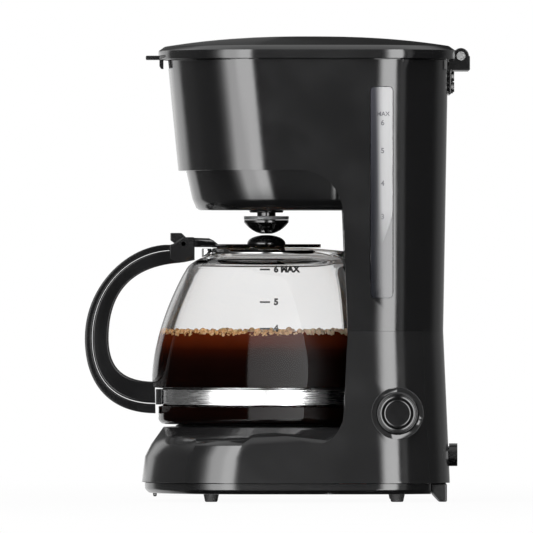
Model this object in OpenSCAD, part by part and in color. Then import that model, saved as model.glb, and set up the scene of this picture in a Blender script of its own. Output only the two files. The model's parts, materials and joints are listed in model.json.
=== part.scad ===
// Drip coffee maker with a glass carafe.
// Z is up, Y runs from the front to the back, and the controls are on the +X side.
// The origin is on the counter, below the middle of the whole machine.

/* [Housing] */
// Width of the housing
body_w = 160; // [156:1:176]
// Height of the housing's top rim above the counter
housing_top = 238.4; // [236:0.1:246]
// Height of the seam between the upper and lower housings
seam_z = 92.1; // [88:0.1:96]
// Height of the lower housing's bottom edge
housing_bottom = 10.2; // [9:0.1:12]
// Wall of the housings
wall = 2.4; // [2:0.1:3]
// Corner radius at the rear of the housings
rear_corner = 40; // [34:1:42]
// Corner radius at the front of the head and the base
front_corner = 40; // [36:1:42]
// Reach of the rear wall behind the brew axis, at the top
rear_top = 98.1; // [96:0.1:100]
// Reach of the rear wall behind the brew axis, at the seam
rear_seam = 95.5; // [94.5:0.1:97]
// Reach of the rear wall behind the brew axis, at the bottom
rear_bottom = 99.1; // [97:0.1:101]

/* [Head] */
// Reach of the head in front of the brew axis, at its top rim
head_front = 53.6; // [52:0.1:56]
// How far the head's front leans back from the rim to the skirt
head_lean = 5.9; // [4:0.1:7]
// Height of the skirt under the head
skirt_z = 178.8; // [176:0.1:182]
// Radius of the curve from the skirt down into the cheeks
cheek_curve = 23.5; // [18:0.5:26]
// Distance from the brew axis back to the cheeks' front edge, at the seam
cheek_y = 43.8; // [42:0.1:46]
// Radius of the curved wall behind the carafe
bay_r = 65; // [64:0.1:66]

/* [Base] */
// Reach of the base in front of the brew axis
base_front = 67.4; // [66:0.1:70]
// Height of the deck around the warming plate
deck_z = 40; // [39:0.1:40.5]
// Height of the side walls' upper edge
side_edge_z = 30.8; // [28:0.1:33]
// How far the bevel leans in between the side edge and the deck
bevel = 9; // [7:0.5:10]
// Radius of the warming plate
plate_r = 49.5; // [47:0.1:50]
// Height of the warming plate's top
plate_z = 41.3; // [41:0.1:41.5]
// Radius of the well that the warming plate stands in
well_r = 53; // [52:0.1:54]
// Height of the well's floor
well_z = 31; // [30.6:0.1:31.6]

/* [Lid] */
// How far the lid's rim stands out past the housing at the sides
lid_over = 3; // [2:0.1:4]
// Reach of the lid in front of the brew axis
lid_front = 58.5; // [57.5:0.1:60]
// Reach of the lid behind the brew axis
lid_rear = 101.9; // [101:0.1:102]
// Height of the lid's crown above its rim's lower edge
lid_rise = 12.8; // [11:0.1:14]
// Radius of the lid's hinge pin
pin_r = 1.5; // [1.2:0.1:1.8]
// Distance from the brew axis back to the hinge pin
pin_y = 105.1; // [105:0.1:106]
// Height of the hinge pin above the housing's top rim
pin_rise = 2.2; // [2:0.1:2.6]
// Reach of the hinge bracket behind the brew axis
hinge_reach = 110; // [109.7:0.1:112]

/* [Brewing] */
// Half width of the brew bowl under the head
bowl_hw = 68; // [64:0.5:70]
// Height of the brew bowl's underside
bowl_z = 157.4; // [156.8:0.1:158]
// Reach of the brew bowl in front of the brew axis, at its top
bowl_front = 43.4; // [42.5:0.1:44]
// Radius of the filter basket's rim
basket_r = 42; // [40:0.5:42]
// Depth of the filter basket
basket_depth = 39.5; // [36:0.5:40]
// Radius of the drip valve's cup
cup_r = 12.1; // [10:0.1:13]

/* [Water] */
// Outer radius of the water pipes
pipe_r = 4; // [3.6:0.1:4.2]
// Wall of the silicone hoses
hose_wall = 1.95; // [1.5:0.05:2.2]
// Radius of the heater's loop
loop_r = 34; // [32:0.5:36]
// Width of the water gauge's window
gauge_w = 12.1; // [10:0.1:13]
// Lower end of the water gauge's window
gauge_low = 109.9; // [108:0.1:114]
// Upper end of the water gauge's window
gauge_high = 223.6; // [218:0.1:226]

/* [Carafe] */
// Largest radius of the glass jug
jug_r = 62; // [60:0.1:62.5]
// Radius of the jug's neck
neck_r = 29.4; // [28:0.1:30]
// Height of the jug's rim above the counter
rim_z = 136.9; // [136.5:0.1:137.1]
// Wall of the glass
glass = 1.8; // [1.4:0.1:2.2]
// Width of the steel band
band_w = 8.4; // [7:0.1:9]
// Height of the coffee's surface
coffee_z = 91.6; // [70:0.1:92]
// Reach of the handle in front of the brew axis
handle_reach = 98.4; // [96:0.1:102]
// Width of the handle
handle_w = 18; // [16:0.5:22]

/* [Switch] */
// Distance from the brew axis back to the switch
switch_y = 70.6; // [69:0.1:72]
// Height of the switch
switch_z = 47.9; // [46:0.1:52]
// Radius of the button
button_r = 7.3; // [6.5:0.1:7.6]

/* [Hidden] */
$fn = 64;

// Clearances and small steps
gap = 0.3;             // between neighbouring pieces
run = 0.05;            // radial clearance of a pin or shaft in its bore
thin = 0.01;           // thickness of a hull's slices
over = 1;              // how far a cut runs past a face
far = 300;             // longer than the whole machine

// The brew axis stands behind the middle of the machine's depth
axis_y = (handle_reach - hinge_reach) / 2;
hw = body_w / 2;
pin_z = housing_top + pin_rise;

// ---------- outlines ----------
function arc(c, r, a0, a1, n, from = 0) =
  [for (i = [from:n]) let (a = a0 + (a1 - a0) * i / n) c + r * [cos(a), sin(a)]];
// Radius of a shallow bow that runs into corner arcs of radius rf, whose centres lie d behind its crown
function bow_r(w, d, rf) = ((w - rf) * (w - rf) + d * d - rf * rf) / (2 * (d - rf));
function bow_a(w, d, rf) = acos((w - rf) / (bow_r(w, d, rf) - rf));
// Plan of a bowed front, straight sides and a flat rear with round corners, t inside its outline
function plan(w, front, rear, d, rf, rr, t = 0) =
  let (r = bow_r(w, d, rf), a = bow_a(w, d, rf))
  concat(
    arc([0, r - front], r - t, a - 180, -a, 12),
    arc([w - rf, d - front], rf - t, -a, 0, 8, 1),
    arc([w - rr, rear - rr], rr - t, 0, 90, 8),
    arc([rr - w, rear - rr], rr - t, 90, 180, 8),
    [for (p = arc([rf - w, d - front], rf - t, 180, 180 + a, 8)) if (p[1] > d - front - rf * 0.999 * sin(a) + t) p]);
function rounded(y0, z0, y1, z1, r) = concat(
  arc([y1 - r, z0 + r], r, -90, 0, 4), arc([y1 - r, z1 - r], r, 0, 90, 4),
  arc([y0 + r, z1 - r], r, 90, 180, 4), arc([y0 + r, z0 + r], r, 180, 270, 4));
function bezier(p, n, from = 0) = [for (i = [from:n]) let (t = i / n, s = 1 - t)
  s*s*s * p[0] + 3*s*s*t * p[1] + 3*s*t*t * p[2] + t*t*t * p[3]];
function mix(a, b, t) = a + (b - a) * t;
function flipped(list) = [for (i = [len(list) - 1:-1:0]) list[i]];

front_bow = 49.1;      // depth of the head's bow, from its crown back to the corner centres
base_bow = 53.4;
lid_bow = 54;

module slice(z, points) { translate([0, 0, z]) linear_extrude(thin) polygon(points); }
module slab(z, h, points) { translate([0, 0, z]) linear_extrude(h) polygon(points); }
module along_x(w) { rotate([90, 0, 90]) linear_extrude(w, center = true) children(); }
module from_x(x, w) { translate([x, 0, 0]) rotate([90, 0, 90]) linear_extrude(w) children(); }
module rod_x(x0, x1, y, z, r) { translate([x0, y, z]) rotate([0, 90, 0]) cylinder(h = x1 - x0, r = r); }
module rod_y(x, y0, y1, z, r) { translate([x, y0, z]) rotate([-90, 0, 0]) cylinder(h = y1 - y0, r = r); }
module post(x, y, z0, z1, r) { translate([x, y, z0]) cylinder(h = z1 - z0, r = r); }
module box(p, q) { translate(p) cube(q - p); }
module on_axis() { translate([0, axis_y, 0]) children(); }
module both_sides() { children(); mirror([1, 0, 0]) children(); }

// ---------- housings ----------
// Plan of the upper housing at height z, t inside its outer face
function lean_at(z) = head_lean * (housing_top - z) / (housing_top - skirt_z);
function rear_at(z) = mix(rear_seam, rear_top, (z - seam_z) / (housing_top - seam_z));
function upper_plan(z, t) = plan(hw, head_front - lean_at(z), rear_at(z), front_bow, front_corner, rear_corner, t);
module upper_form(z0, z1, t) { hull() { slice(z0, upper_plan(z0, t)); slice(z1 - thin, upper_plan(z1, t)); } }

// Side view of the bay under the head, g beyond its walls
fillet_y = cheek_y - 2.5;      // the cheeks' front edge where the curve starts
function bay_side(g) = concat(
  [[-far, 0], [cheek_y + g, 0], [cheek_y + g, seam_z]],
  arc([fillet_y - cheek_curve, skirt_z + g - cheek_curve - g], cheek_curve + g, 0, 90, 10),
  [[-far, skirt_z + g]]);
ear_x = 71;                    // the cheeks' curves start outside this
module bay(g) {
  along_x(far) polygon(bay_side(g));
  post(0, 0, 0, skirt_z + g, bay_r + g);
  box([-ear_x + g, -far, 0], [ear_x - g, fillet_y, skirt_z + g]);
}

// Bosses for the screws at the seam
seam_boss = [[hw - 6, cheek_y + 7.2], [hw - 24, rear_seam - 9]];
boss_r = 4;
boss_h = 8.5;
screw_r = 1.5;
module seam_bosses(z) {
  both_sides() for (p = seam_boss) post(p[0], p[1], z, z + boss_h, boss_r);
}

gauge_y = 56;                  // front edge of the gauge window
bowl_d = 47;                   // depth of the brew bowl's bow
function bowl_plan(front, w, t = 0) = plan(w, front, cheek_y + 20, bowl_d, front_corner, 30, t);
module bowl_bounds(g) {
  union() {
    box([-far, -far, 0], [far, fillet_y - gap + g, far]);
    post(0, 0, 0, far, bay_r - gap + g);
  }
}

// Bracket and pin hole places on the rear wall
bracket_x = 40;                // half width of the hinge bracket
ear_w = 10;                    // width of each bracket ear
plate_low = housing_top - 18.4;   // lower edge of the bracket's back plate
shelf_z = housing_top - 5.4;   // underside of the bracket's shelf
screw_rows = [plate_low + 3.8, plate_low + 9.6];
bracket_screw_h = 5.6;         // short, so that the screws stop before the tank
notch_w = 10;                  // half width of the finger notch in the front rim

module upper_housing() {
  color("#2b2b2c") on_axis() difference() {
    union() {
      difference() {
        upper_form(seam_z, housing_top, 0);
        bay(0);
        difference() {
          upper_form(seam_z - over, housing_top + over, wall);
          bay(wall);
        }
        // the head's floor opens for the brew bowl
        intersection() {
          slab(skirt_z - over, wall + 2 * over, bowl_plan(bowl_front, bowl_hw, -gap));
          bowl_bounds(0);
        }
      }
      seam_bosses(seam_z);
    }
    both_sides() for (p = seam_boss) post(p[0], p[1], seam_z - over, seam_z + boss_h - over, screw_r + run);
    // window for the water gauge
    from_x(hw - 8, 16) polygon(rounded(gauge_y, gauge_low, gauge_y + gauge_w, gauge_high, 2.2));
    // finger notch behind the lid's tab
    box([-notch_w, -far, housing_top - 4.3], [notch_w, -head_front + 6, housing_top + over]);
    // holes of the hinge bracket's screws
    both_sides() for (z = screw_rows) rod_y(bracket_x - ear_w / 2, rear_seam - wall - 2, far, z, screw_r + run);
  }
}

// The lower housing: a low base in front and the foot of the tower behind
function lower_rear(z) = mix(rear_bottom, rear_seam, (z - housing_bottom) / (seam_z - housing_bottom));
function lower_plan(z, front, w, t) = plan(w, front, lower_rear(z), base_bow, front_corner, rear_corner, t);
base_steps = [[0, base_front], [13.8, base_front - 1.6], [side_edge_z - housing_bottom, base_front - 5.1]];
deck_front = base_front - 11.7;
deck_hw = hw - bevel;
foot_r = 16.5;                 // curve from the side walls up into the cheeks
function tower_side(g) = concat(
  [[far, housing_bottom - over], [far, seam_z + over], [cheek_y + g, seam_z + over], [cheek_y + g, seam_z]],
  arc([fillet_y - foot_r + 0.2, side_edge_z + foot_r], foot_r + g, 0, -90, 8),
  [[fillet_y - foot_r - 8, side_edge_z - g], [fillet_y - foot_r - 8, housing_bottom - over]]);
module lower_form(t, drop) {
  // t inside the walls, with the deck lowered by drop
  hull() {
    for (s = base_steps) slice(housing_bottom + s[0] - drop, lower_plan(housing_bottom + s[0], s[1], hw, t));
    slice(deck_z - drop - thin, lower_plan(deck_z, deck_front, deck_hw, t));
  }
  intersection() {
    hull() {
      slice(housing_bottom - drop, lower_plan(housing_bottom, base_front, hw, t));
      slice(seam_z - thin + drop, lower_plan(seam_z, base_front, hw, t));
    }
    along_x(far) polygon(tower_side(t));
  }
}
module lower_bay(g) {
  // the curved wall behind the carafe, and the space in front of the cheeks
  post(0, 0, deck_z + thin - g, seam_z + over + g, bay_r + g);
}
dish_r = 14;                   // round seat of the switch
dish_x = hw - 1.6;             // its face
module switch_axis(x0, x1, r) { rod_x(x0, x1, switch_y, switch_z, r); }
// Posts that take the base plate's screws, and bosses that take the heater strap's screws
base_post = [[hw - 20, -20, deck_z - 1.5], [hw - 6, 34, side_edge_z - 5], [hw - 22.5, rear_seam - 8, deck_z]];
strap_x = well_r + 5.5;
bezel_r = 11.6;
module lower_housing() {
  color("#2f2f30") on_axis() difference() {
    union() {
      difference() {
        union() {
          lower_form(0, 0);
          intersection() {
            switch_axis(hw - 20, dish_x, dish_r);
            box([0, 0, 0], [far, lower_rear(switch_z) - 1, far]);
          }
        }
        lower_bay(0);
        post(0, 0, well_z, deck_z + over, well_r);
        post(0, 0, 0, deck_z + over, plate_r - 1.5);
        difference() {
          lower_form(wall, wall);
          lower_bay(wall);
          post(0, 0, well_z - wall, far, well_r + wall);
        }
        switch_axis(dish_x, hw + over, dish_r);
      }
      both_sides() for (p = base_post) post(p[0], p[1], housing_bottom + gap, p[2], boss_r + 0.5);
      both_sides() post(strap_x, 0, well_z - wall, deck_z - 1, boss_r);
      seam_bosses(seam_z - boss_h);
    }
    both_sides() for (p = base_post) post(p[0], p[1], 0, housing_bottom + 13, screw_r + run);
    both_sides() for (p = seam_boss) post(p[0], p[1], seam_z - boss_h - over, seam_z + over, screw_r + 2 * run);
    both_sides() post(strap_x, 0, 0, well_z + 5, screw_r + run);
    switch_axis(hw - 30, hw + over, bezel_r - 1.5);
    rod_y(gland_x, rear_seam - 12, far, gland_z, gland_neck + run);
  }
}

// ---------- underside ----------
plate_floor = 4.3;             // height of the base plate's underside
plate_rear = 88.7;
function under_plan(t) = plan(hw, base_front, rear_bottom, base_bow, front_corner, rear_corner, t);
feet_at = [[hw - 24, -29.7], [hw - 24, 70.5]];
module base_plate() {
  color("#262627") on_axis() difference() {
    union() {
      intersection() {
        difference() {
          hull() {
            slice(plate_floor, under_plan(3.6));
            slice(plate_floor + 2.2, under_plan(1.6));
            slice(housing_bottom - gap, under_plan(1.5));
          }
          slab(plate_floor + 2, far, under_plan(1.5 + 2));
        }
        box([-far, -far, 0], [far, plate_rear, far]);
      }
      // rear wall of the tray
      box([-hw + 22, plate_rear - 2, plate_floor], [hw - 22, plate_rear, housing_bottom - gap]);
      // collars round the screws
      both_sides() for (p = base_post) if (p[1] < plate_rear - 6) post(p[0], p[1], plate_floor, housing_bottom, boss_r);
      box([-4, 1 - base_front + 5, plate_floor - 2], [4, 3 - base_front + 5, plate_floor + 1]);
    }
    both_sides() for (p = base_post) post(p[0], p[1], 0, far, screw_r + 2 * run);
    both_sides() for (p = base_post) post(p[0], p[1], 0, plate_floor + 2, 2.9);
    for (i = [0:6]) box([-18, -12 + 8 * i, 0], [18, -9 + 8 * i, far]);
  }
}
module rubber_feet() {
  color("#1c1c1c") on_axis() both_sides() for (p = feet_at) translate([p[0], p[1], 0])
    rotate_extrude() polygon([[0, 0], [3, 0], [3.4, 0.4], [4.2, plate_floor], [0, plate_floor]]);
}
heel_rear = rear_bottom - 1.7;
heel_hw = hw - 26;
module heel_block() {
  color("#222223") on_axis() along_x(2 * heel_hw) polygon([[plate_rear + gap, housing_bottom - gap],
    [plate_rear + gap, plate_floor], [plate_rear + plate_floor, 0], [heel_rear, 0], [heel_rear, housing_bottom - gap]]);
}
module screw(h, r) {
  // a pan-head screw with its head at z = 0 and its shank up
  difference() {
    union() { cylinder(h = 1.6, r = r * 1.8); cylinder(h = h, r = r); }
    translate([-r, -0.3, -over]) cube([2 * r, 0.6, over + 0.7]);
    translate([-0.3, -r, -over]) cube([0.6, 2 * r, over + 0.7]);
  }
}
module base_screws() {
  color("silver") on_axis() both_sides() for (p = base_post) if (p[1] < plate_rear - 6)
    translate([p[0], p[1], plate_floor + 0.3]) screw(16, screw_r);
}
module seam_screws() {
  color("silver") on_axis() both_sides() for (p = seam_boss)
    translate([p[0], p[1], seam_z - boss_h - 1.7]) screw(15, screw_r);
}

// ---------- brewing ----------
bowl_top = skirt_z + wall + gap;         // underside of the bowl's flange
bowl_flange = 2;
seat_z = 209.8;                          // top of the ring that carries the filter basket
spout_r = 9.2;                           // boss under the bowl, round the drip valve
neck_valve = 5;                          // radius of the drip valve's neck
seal_r = 8;
seal_z = bowl_z + 2.2 + gap;             // underside of the seal that closes the bowl's bore
seal_h = 1.8;
stem_r = 1.8;
bridge_x = 12;                           // half length of the bridge over the valve's spring
bridge_z = seal_z + 5.5;                 // its underside
bowl_steps = [[0, 7], [1.2, 5.4], [6, 3.3], [skirt_z - bowl_z, 0]];   // height above the bottom, and lean
module bowl_form(t, z0) {
  hull() for (s = bowl_steps)
    slice(bowl_z + s[0] + z0, bowl_plan(bowl_front - s[1], bowl_hw - s[1], t));
}
module brew_bowl() {
  color("#2a2a2b") on_axis() difference() {
    union() {
      intersection() {
        difference() {
          union() {
            bowl_form(0, 0);
            slab(skirt_z - over, bowl_top - skirt_z + over + bowl_flange, bowl_plan(bowl_front, bowl_hw));
          }
          intersection() {
            union() {
              bowl_form(2.2, 2.2);
              slab(skirt_z, bowl_top - skirt_z, bowl_plan(bowl_front, bowl_hw, 2.2));
            }
            bowl_bounds(-2.2);
          }
        }
        bowl_bounds(0);
      }
      intersection() {
        slab(bowl_top, bowl_flange, upper_plan(bowl_top, wall + gap));
        box([-far, -far, 0], [far, fillet_y, far]);
      }
      post(0, 0, bowl_top, seat_z, basket_r + 2.6);
      post(0, 0, bowl_z - 1.3, bowl_z + 2, spout_r);
      // bridge that guides the valve's stem and holds its spring down
      both_sides() box([seal_r + 1, -3, bowl_z + 1], [bridge_x, 3, bridge_z]);
      box([-bridge_x, -3, bridge_z], [bridge_x, 3, bridge_z + 1.3]);
    }
    post(0, 0, bowl_top - over, seat_z + over, basket_r + 1);
    post(0, 0, 0, bowl_z + 2.2 + over, neck_valve + run);
    post(0, 0, 0, far, stem_r + run);
  }
}
basket_low = basket_r - 9;               // radius of the basket's floor
basket_rim = seat_z + gap;
basket_floor = basket_rim - basket_depth;
module filter_basket() {
  color("#1f1f20") on_axis() rotate_extrude() polygon([
    [8, basket_floor], [basket_low, basket_floor], [basket_r, basket_rim], [basket_r + 4.5, basket_rim],
    [basket_r + 4.5, basket_rim + 2], [basket_r - 1.8, basket_rim + 2], [basket_low - 1.8, basket_floor + 1.8],
    [10, basket_floor + 1.8], [10, basket_floor + 4], [8, basket_floor + 4]]);
}
module basket_handle() {
  // a low bow across the basket's rim
  color("#1f1f20") on_axis() {
    both_sides() box([basket_r - 4, -5, basket_rim + 2], [basket_r + 3, 5, basket_rim + 4]);
    both_sides() box([basket_r - 4, -5, basket_rim + 4], [basket_r - 2, 5, basket_rim + 6.5]);
    box([4 - basket_r, -5, basket_rim + 6.5], [basket_r - 4, 5, basket_rim + 8]);
  }
}
module mesh_filter() {
  // cone of fine mesh inside the basket, hung from its rim
  m = 2.1;
  color("#8a6b2a") on_axis() rotate_extrude() polygon([
    [0, basket_floor + 5], [basket_low - 4, basket_floor + 5], [basket_r - m - 2, basket_rim + 0.6],
    [basket_r - m - 0.2, basket_rim + 0.6], [basket_r - m + 0.2, basket_rim + 1.6], [basket_r - m - 2.6, basket_rim + 1.6],
    [basket_low - 5, basket_floor + 5.7], [0, basket_floor + 5.7]]);
}

// ---------- drip valve ----------
washer_top = 154.2;
washer_h = 1.9;
cup_low = 144.7;               // lowest point of the valve's cup
module valve_stem() {
  color("#161616") on_axis() difference() {
    union() {
      post(0, 0, washer_top - washer_h - 0.2, seal_z, neck_valve);
      post(0, 0, seal_z, bridge_z + 3, stem_r);
    }
    // drain holes round the core
    for (i = [0:3]) rotate([0, 0, 45 + 90 * i]) post(3.2, 0, 0, seal_z - 2, 1.1);
  }
}
module valve_seal() {
  color("#b9b3a6") on_axis() difference() {
    post(0, 0, seal_z, seal_z + seal_h, seal_r);
    post(0, 0, 0, far, stem_r);
  }
}
module valve_spring() {
  coils = 3;
  wire = 0.35;
  low = seal_z + seal_h + wire;
  color("silver") on_axis() for (i = [0:coils - 1])
    translate([0, 0, low + i * (bridge_z - 2 * wire - seal_z - seal_h) / (coils - 1)])
      rotate_extrude() translate([stem_r + 0.9, 0]) circle(r = wire);
}
module valve_washer() {
  color("#b5b5b5") on_axis() difference() {
    post(0, 0, washer_top - washer_h, washer_top, cup_r + 0.1);
    post(0, 0, 0, far, neck_valve);
  }
}
module valve_cup() {
  cup_top = washer_top - washer_h - 0.2;
  color("#141414") on_axis() difference() {
    rotate_extrude() polygon(concat([[0, cup_low + 1.4], [0, cup_low], [3, cup_low]],
      bezier([[3, cup_low], [8, cup_low + 1.1], [cup_r - 1, cup_low + 4.6], [cup_r, cup_low + 6.2]], 6, 1),
      [[cup_r, cup_top], [cup_r - 1.6, cup_top], [cup_r - 1.6, cup_low + 6.6], [6.4, cup_low + 2.4], [3, cup_low + 1.6]]));
    for (a = [20:40:340]) rotate([0, 0, a]) box([5, -1.1, cup_low], [far, 1.1, cup_low + 5.2]);
  }
  color("#141414") on_axis() post(0, 0, cup_low + 1.3, cup_top, neck_valve - 1.5);
}

// ---------- water ----------
tank_low = 103;                // underside of the tank
tank_rim = housing_top - 6.4;
tank_wall = 1.8;
tank_front = cheek_y + wall + gap + 0.5;
leg_a = 35;                    // the loop's ends stand this far either side of the rear
leg_x = loop_r * sin(leg_a);
leg_y = loop_r * cos(leg_a);
riser_y = 82;                  // the pipes rise here, behind the tank's front wall
bore_r = pipe_r - 1.2;
hose_r = pipe_r + run + hose_wall;
hose_z = 16;                   // height of the hoses under the heater
hose_bend = 8;
heater_r = 5.4;
heater_z = plate_z - 1.5 - gap - heater_r;
spout_z = housing_top - 12.4;
spout_tip = 61.5;
valve_low = 74;                // underside of the check valve's body
valve_high = 86;
spigot_low = 95;
function tank_plan(z, t) = upper_plan(z, wall + gap + 0.2 + t);
module tank_form(t, z0, z1) {
  difference() {
    intersection() {
      hull() { slice(z0, tank_plan(z0, t)); slice(z1 - thin, tank_plan(z1, t)); }
      box([-far, tank_front + t, 0], [far, far, far]);
    }
    post(0, 0, 0, far, bay_r + wall + gap + 0.2 + t);
  }
}
module water_tank() {
  color("#d9dde0", 0.6) on_axis() difference() {
    union() {
      difference() {
        tank_form(0, tank_low, tank_rim);
        tank_form(tank_wall, tank_low + 2, tank_rim + over);
      }
      post(-leg_x, riser_y, spigot_low, tank_low + 1, pipe_r);
    }
    post(-leg_x, riser_y, 0, tank_low + 3, bore_r);
    post(leg_x, riser_y, 0, tank_low + 3, pipe_r + run);
    // notch for the spout in the front wall's rim
    box([leg_x - pipe_r - gap, tank_front, spout_z - pipe_r - gap], [leg_x + pipe_r + gap, riser_y - 8, far]);
  }
}
module gauge_window() {
  color("#c9d3da", 0.7) on_axis() intersection() {
    difference() {
      upper_form(seam_z, housing_top, 0.3);
      upper_form(seam_z - over, housing_top + over, wall + 0.1);
    }
    from_x(hw - 8, 16)
      polygon(rounded(gauge_y + 0.1, gauge_low + 0.1, gauge_y + gauge_w - 0.1, gauge_high - 0.1, 2.1));
  }
}
cup_pitch = 17.9;              // height of one cup in the tank, at the lower marks
gauge_marks_z = [153.6, 153.6 + cup_pitch, 153.6 + 2 * cup_pitch - 0.6, 204];
module gauge_marks() {
  color("#8d949a") on_axis() for (z = gauge_marks_z)
    box([hw - 0.45, gauge_y + 4.6, z - 1.4], [hw - 0.1, gauge_y + 6.6, z + 1.4]);
}
module riser_tube() {
  color("#e3e3e0") on_axis() difference() {
    union() {
      post(leg_x, riser_y, valve_high, spout_z, pipe_r);
      translate([leg_x, riser_y, spout_z]) sphere(r = pipe_r);
    }
    post(leg_x, riser_y, 0, spout_z, bore_r);
    rod_y(leg_x, 0, riser_y - pipe_r * 0.6, spout_z, bore_r);
  }
}
module water_spout() {
  color("#d8d8d4") on_axis() difference() {
    rod_y(leg_x, spout_tip, riser_y - pipe_r - 0.1, spout_z, pipe_r);
    rod_y(leg_x, 0, far, spout_z, bore_r);
  }
}
module hose(x, top) {
  // down from the heater, back under it and up at the tower
  difference() {
    hose_run(x, top, hose_r, 0);
    hose_run(x, top, pipe_r + run, over);
  }
}
module hose_run(x, top, r, past) {
  post(x, leg_y, hose_z + hose_bend, heater_z - heater_r - gap + past, r);
  translate([x, leg_y + hose_bend, hose_z + hose_bend]) rotate([90, 0, 90])
    rotate([0, 0, 180]) rotate_extrude(angle = 90) translate([hose_bend, 0]) circle(r = r);
  rod_y(x, leg_y + hose_bend, riser_y - hose_bend, hose_z, r);
  translate([x, riser_y - hose_bend, hose_z + hose_bend]) rotate([90, 0, 90])
    rotate([0, 0, -90]) rotate_extrude(angle = 90) translate([hose_bend, 0]) circle(r = r);
  post(x, riser_y, hose_z + hose_bend, top + past, r);
}
module outlet_hose() { color("#e9e4d8") on_axis() hose(leg_x, valve_high + 11); }
module inlet_hose() { color("#e9e4d8") on_axis() hose(-leg_x, valve_low - gap); }
module tank_hose() {
  color("#e9e4d8") on_axis() difference() {
    post(-leg_x, riser_y, valve_high + gap, tank_low - gap, hose_r);
    post(-leg_x, riser_y, 0, far, pipe_r + run);
  }
}
ball_r = 2.6;
cage_r = 3.1;
cage_low = valve_low + 1.8;
cage_high = valve_high - 1.8;
ball_travel = 2;
module check_valve() {
  color("#f2f0ea") on_axis() difference() {
    union() {
      post(-leg_x, riser_y, valve_low, valve_high, pipe_r + 2.5);
      post(-leg_x, riser_y, valve_low - 9, valve_high + 6, pipe_r);
    }
    post(-leg_x, riser_y, 0, far, 1.6);
    post(-leg_x, riser_y, cage_low, cage_high, cage_r);
  }
}
module check_ball() {
  color("silver") on_axis() translate([-leg_x, riser_y, cage_low + ball_r + gap]) sphere(r = ball_r);
}

// ---------- heater ----------
rod_r = 3.3;
rod_loop = loop_r - heater_r - rod_r - 0.2;
module rear_wedge(a) {
  // the sector within a degrees of the rear
  slab(0, 2 * heater_z, [[0, 0], far * [sin(a), cos(a)], far * [-sin(a), cos(a)]]);
}
module loop(r, tube, a) {
  difference() {
    translate([0, 0, heater_z]) rotate_extrude() translate([r, 0]) circle(r = tube);
    rear_wedge(a);
  }
}
module water_heater() {
  color("#b9bcc0") on_axis() difference() {
    union() {
      loop(loop_r, heater_r, leg_a - 8);
      both_sides() post(leg_x, leg_y, hose_z + hose_bend + 0.5, heater_z, pipe_r);
    }
    loop(loop_r, bore_r, leg_a);
    both_sides() post(leg_x, leg_y, 0, heater_z, bore_r - 0.3);
  }
}
rod_a = leg_a + 8;             // the rod's ends, and the posts of its two terminals
rod_post = [(rod_loop - 0.4) * sin(rod_a + 4), (rod_loop - 0.4) * cos(rod_a + 4)];
module heating_rod() {
  color("#7d7f82") on_axis() {
    loop(rod_loop, rod_r, rod_a);
    both_sides() post(rod_post[0], rod_post[1], heater_z - 9, heater_z, 1.4);
  }
}
strap_top = well_z - wall - gap;
strap_h = 1.5;
strap_w = 14;
module heater_strap() {
  color("#c8cacc") on_axis() difference() {
    box([-strap_x - 4.5, -strap_w / 2, strap_top - strap_h], [strap_x + 4.5, strap_w / 2, strap_top]);
    both_sides() post(strap_x, 0, 0, far, screw_r + 2 * run);
    post(0, 0, 0, far, 2 + 2 * run);
  }
}
module strap_screws() {
  color("silver") on_axis() {
    both_sides() translate([strap_x, 0, strap_top - strap_h - 1.7]) screw(8, screw_r);
    translate([0, 0, strap_top - strap_h - 1.7]) screw(11, 2);
  }
}
module warming_plate() {
  color("#2a2a2a") on_axis() difference() {
    union() {
      rotate_extrude() polygon([[0, plate_z - 1.5], [plate_r - 1.4, plate_z - 1.5], [plate_r - 1.4, well_z + 2 + gap],
        [plate_r, well_z + 2 + gap], [plate_r, plate_z - 1.6], [plate_r - 0.5, plate_z - 0.5],
        [plate_r - 1.6, plate_z], [plate_r - 4, plate_z], [plate_r - 6, plate_z - 0.4], [0, plate_z - 0.4]]);
      post(0, 0, strap_top + gap, plate_z - 1, 4.5);
    }
    post(0, 0, 0, plate_z - 2.5, 2 + run);
  }
}
module plate_gasket() {
  color("#3a3a3a") on_axis() difference() {
    post(0, 0, well_z, well_z + 2, well_r - 0.5);
    post(0, 0, 0, far, plate_r - 1.4);
  }
}
sensor_y = -loop_r;
module thermostat() {
  color("#d8d0c0") on_axis() difference() {
    union() {
      post(0, sensor_y, 21, heater_z - heater_r - gap, 8);
      box([-13, sensor_y - 3.5, heater_z - heater_r - gap - 1], [13, sensor_y + 3.5, heater_z - heater_r - gap]);
      both_sides() box([3, sensor_y - 3, 15], [3.8, sensor_y + 3, 21.5]);
    }
  }
}
fuse_r = 2.6;
fuse_x = 20;                   // it lies along under the strap
fuse_z = strap_top - strap_h - gap - fuse_r;
module thermal_fuse() {
  color("#e8e2d2") on_axis() {
    rod_x(fuse_x - 9, fuse_x + 9, 0, fuse_z, fuse_r);
    rod_x(fuse_x - 13, fuse_x + 13, 0, fuse_z, 0.6);
  }
}

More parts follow.
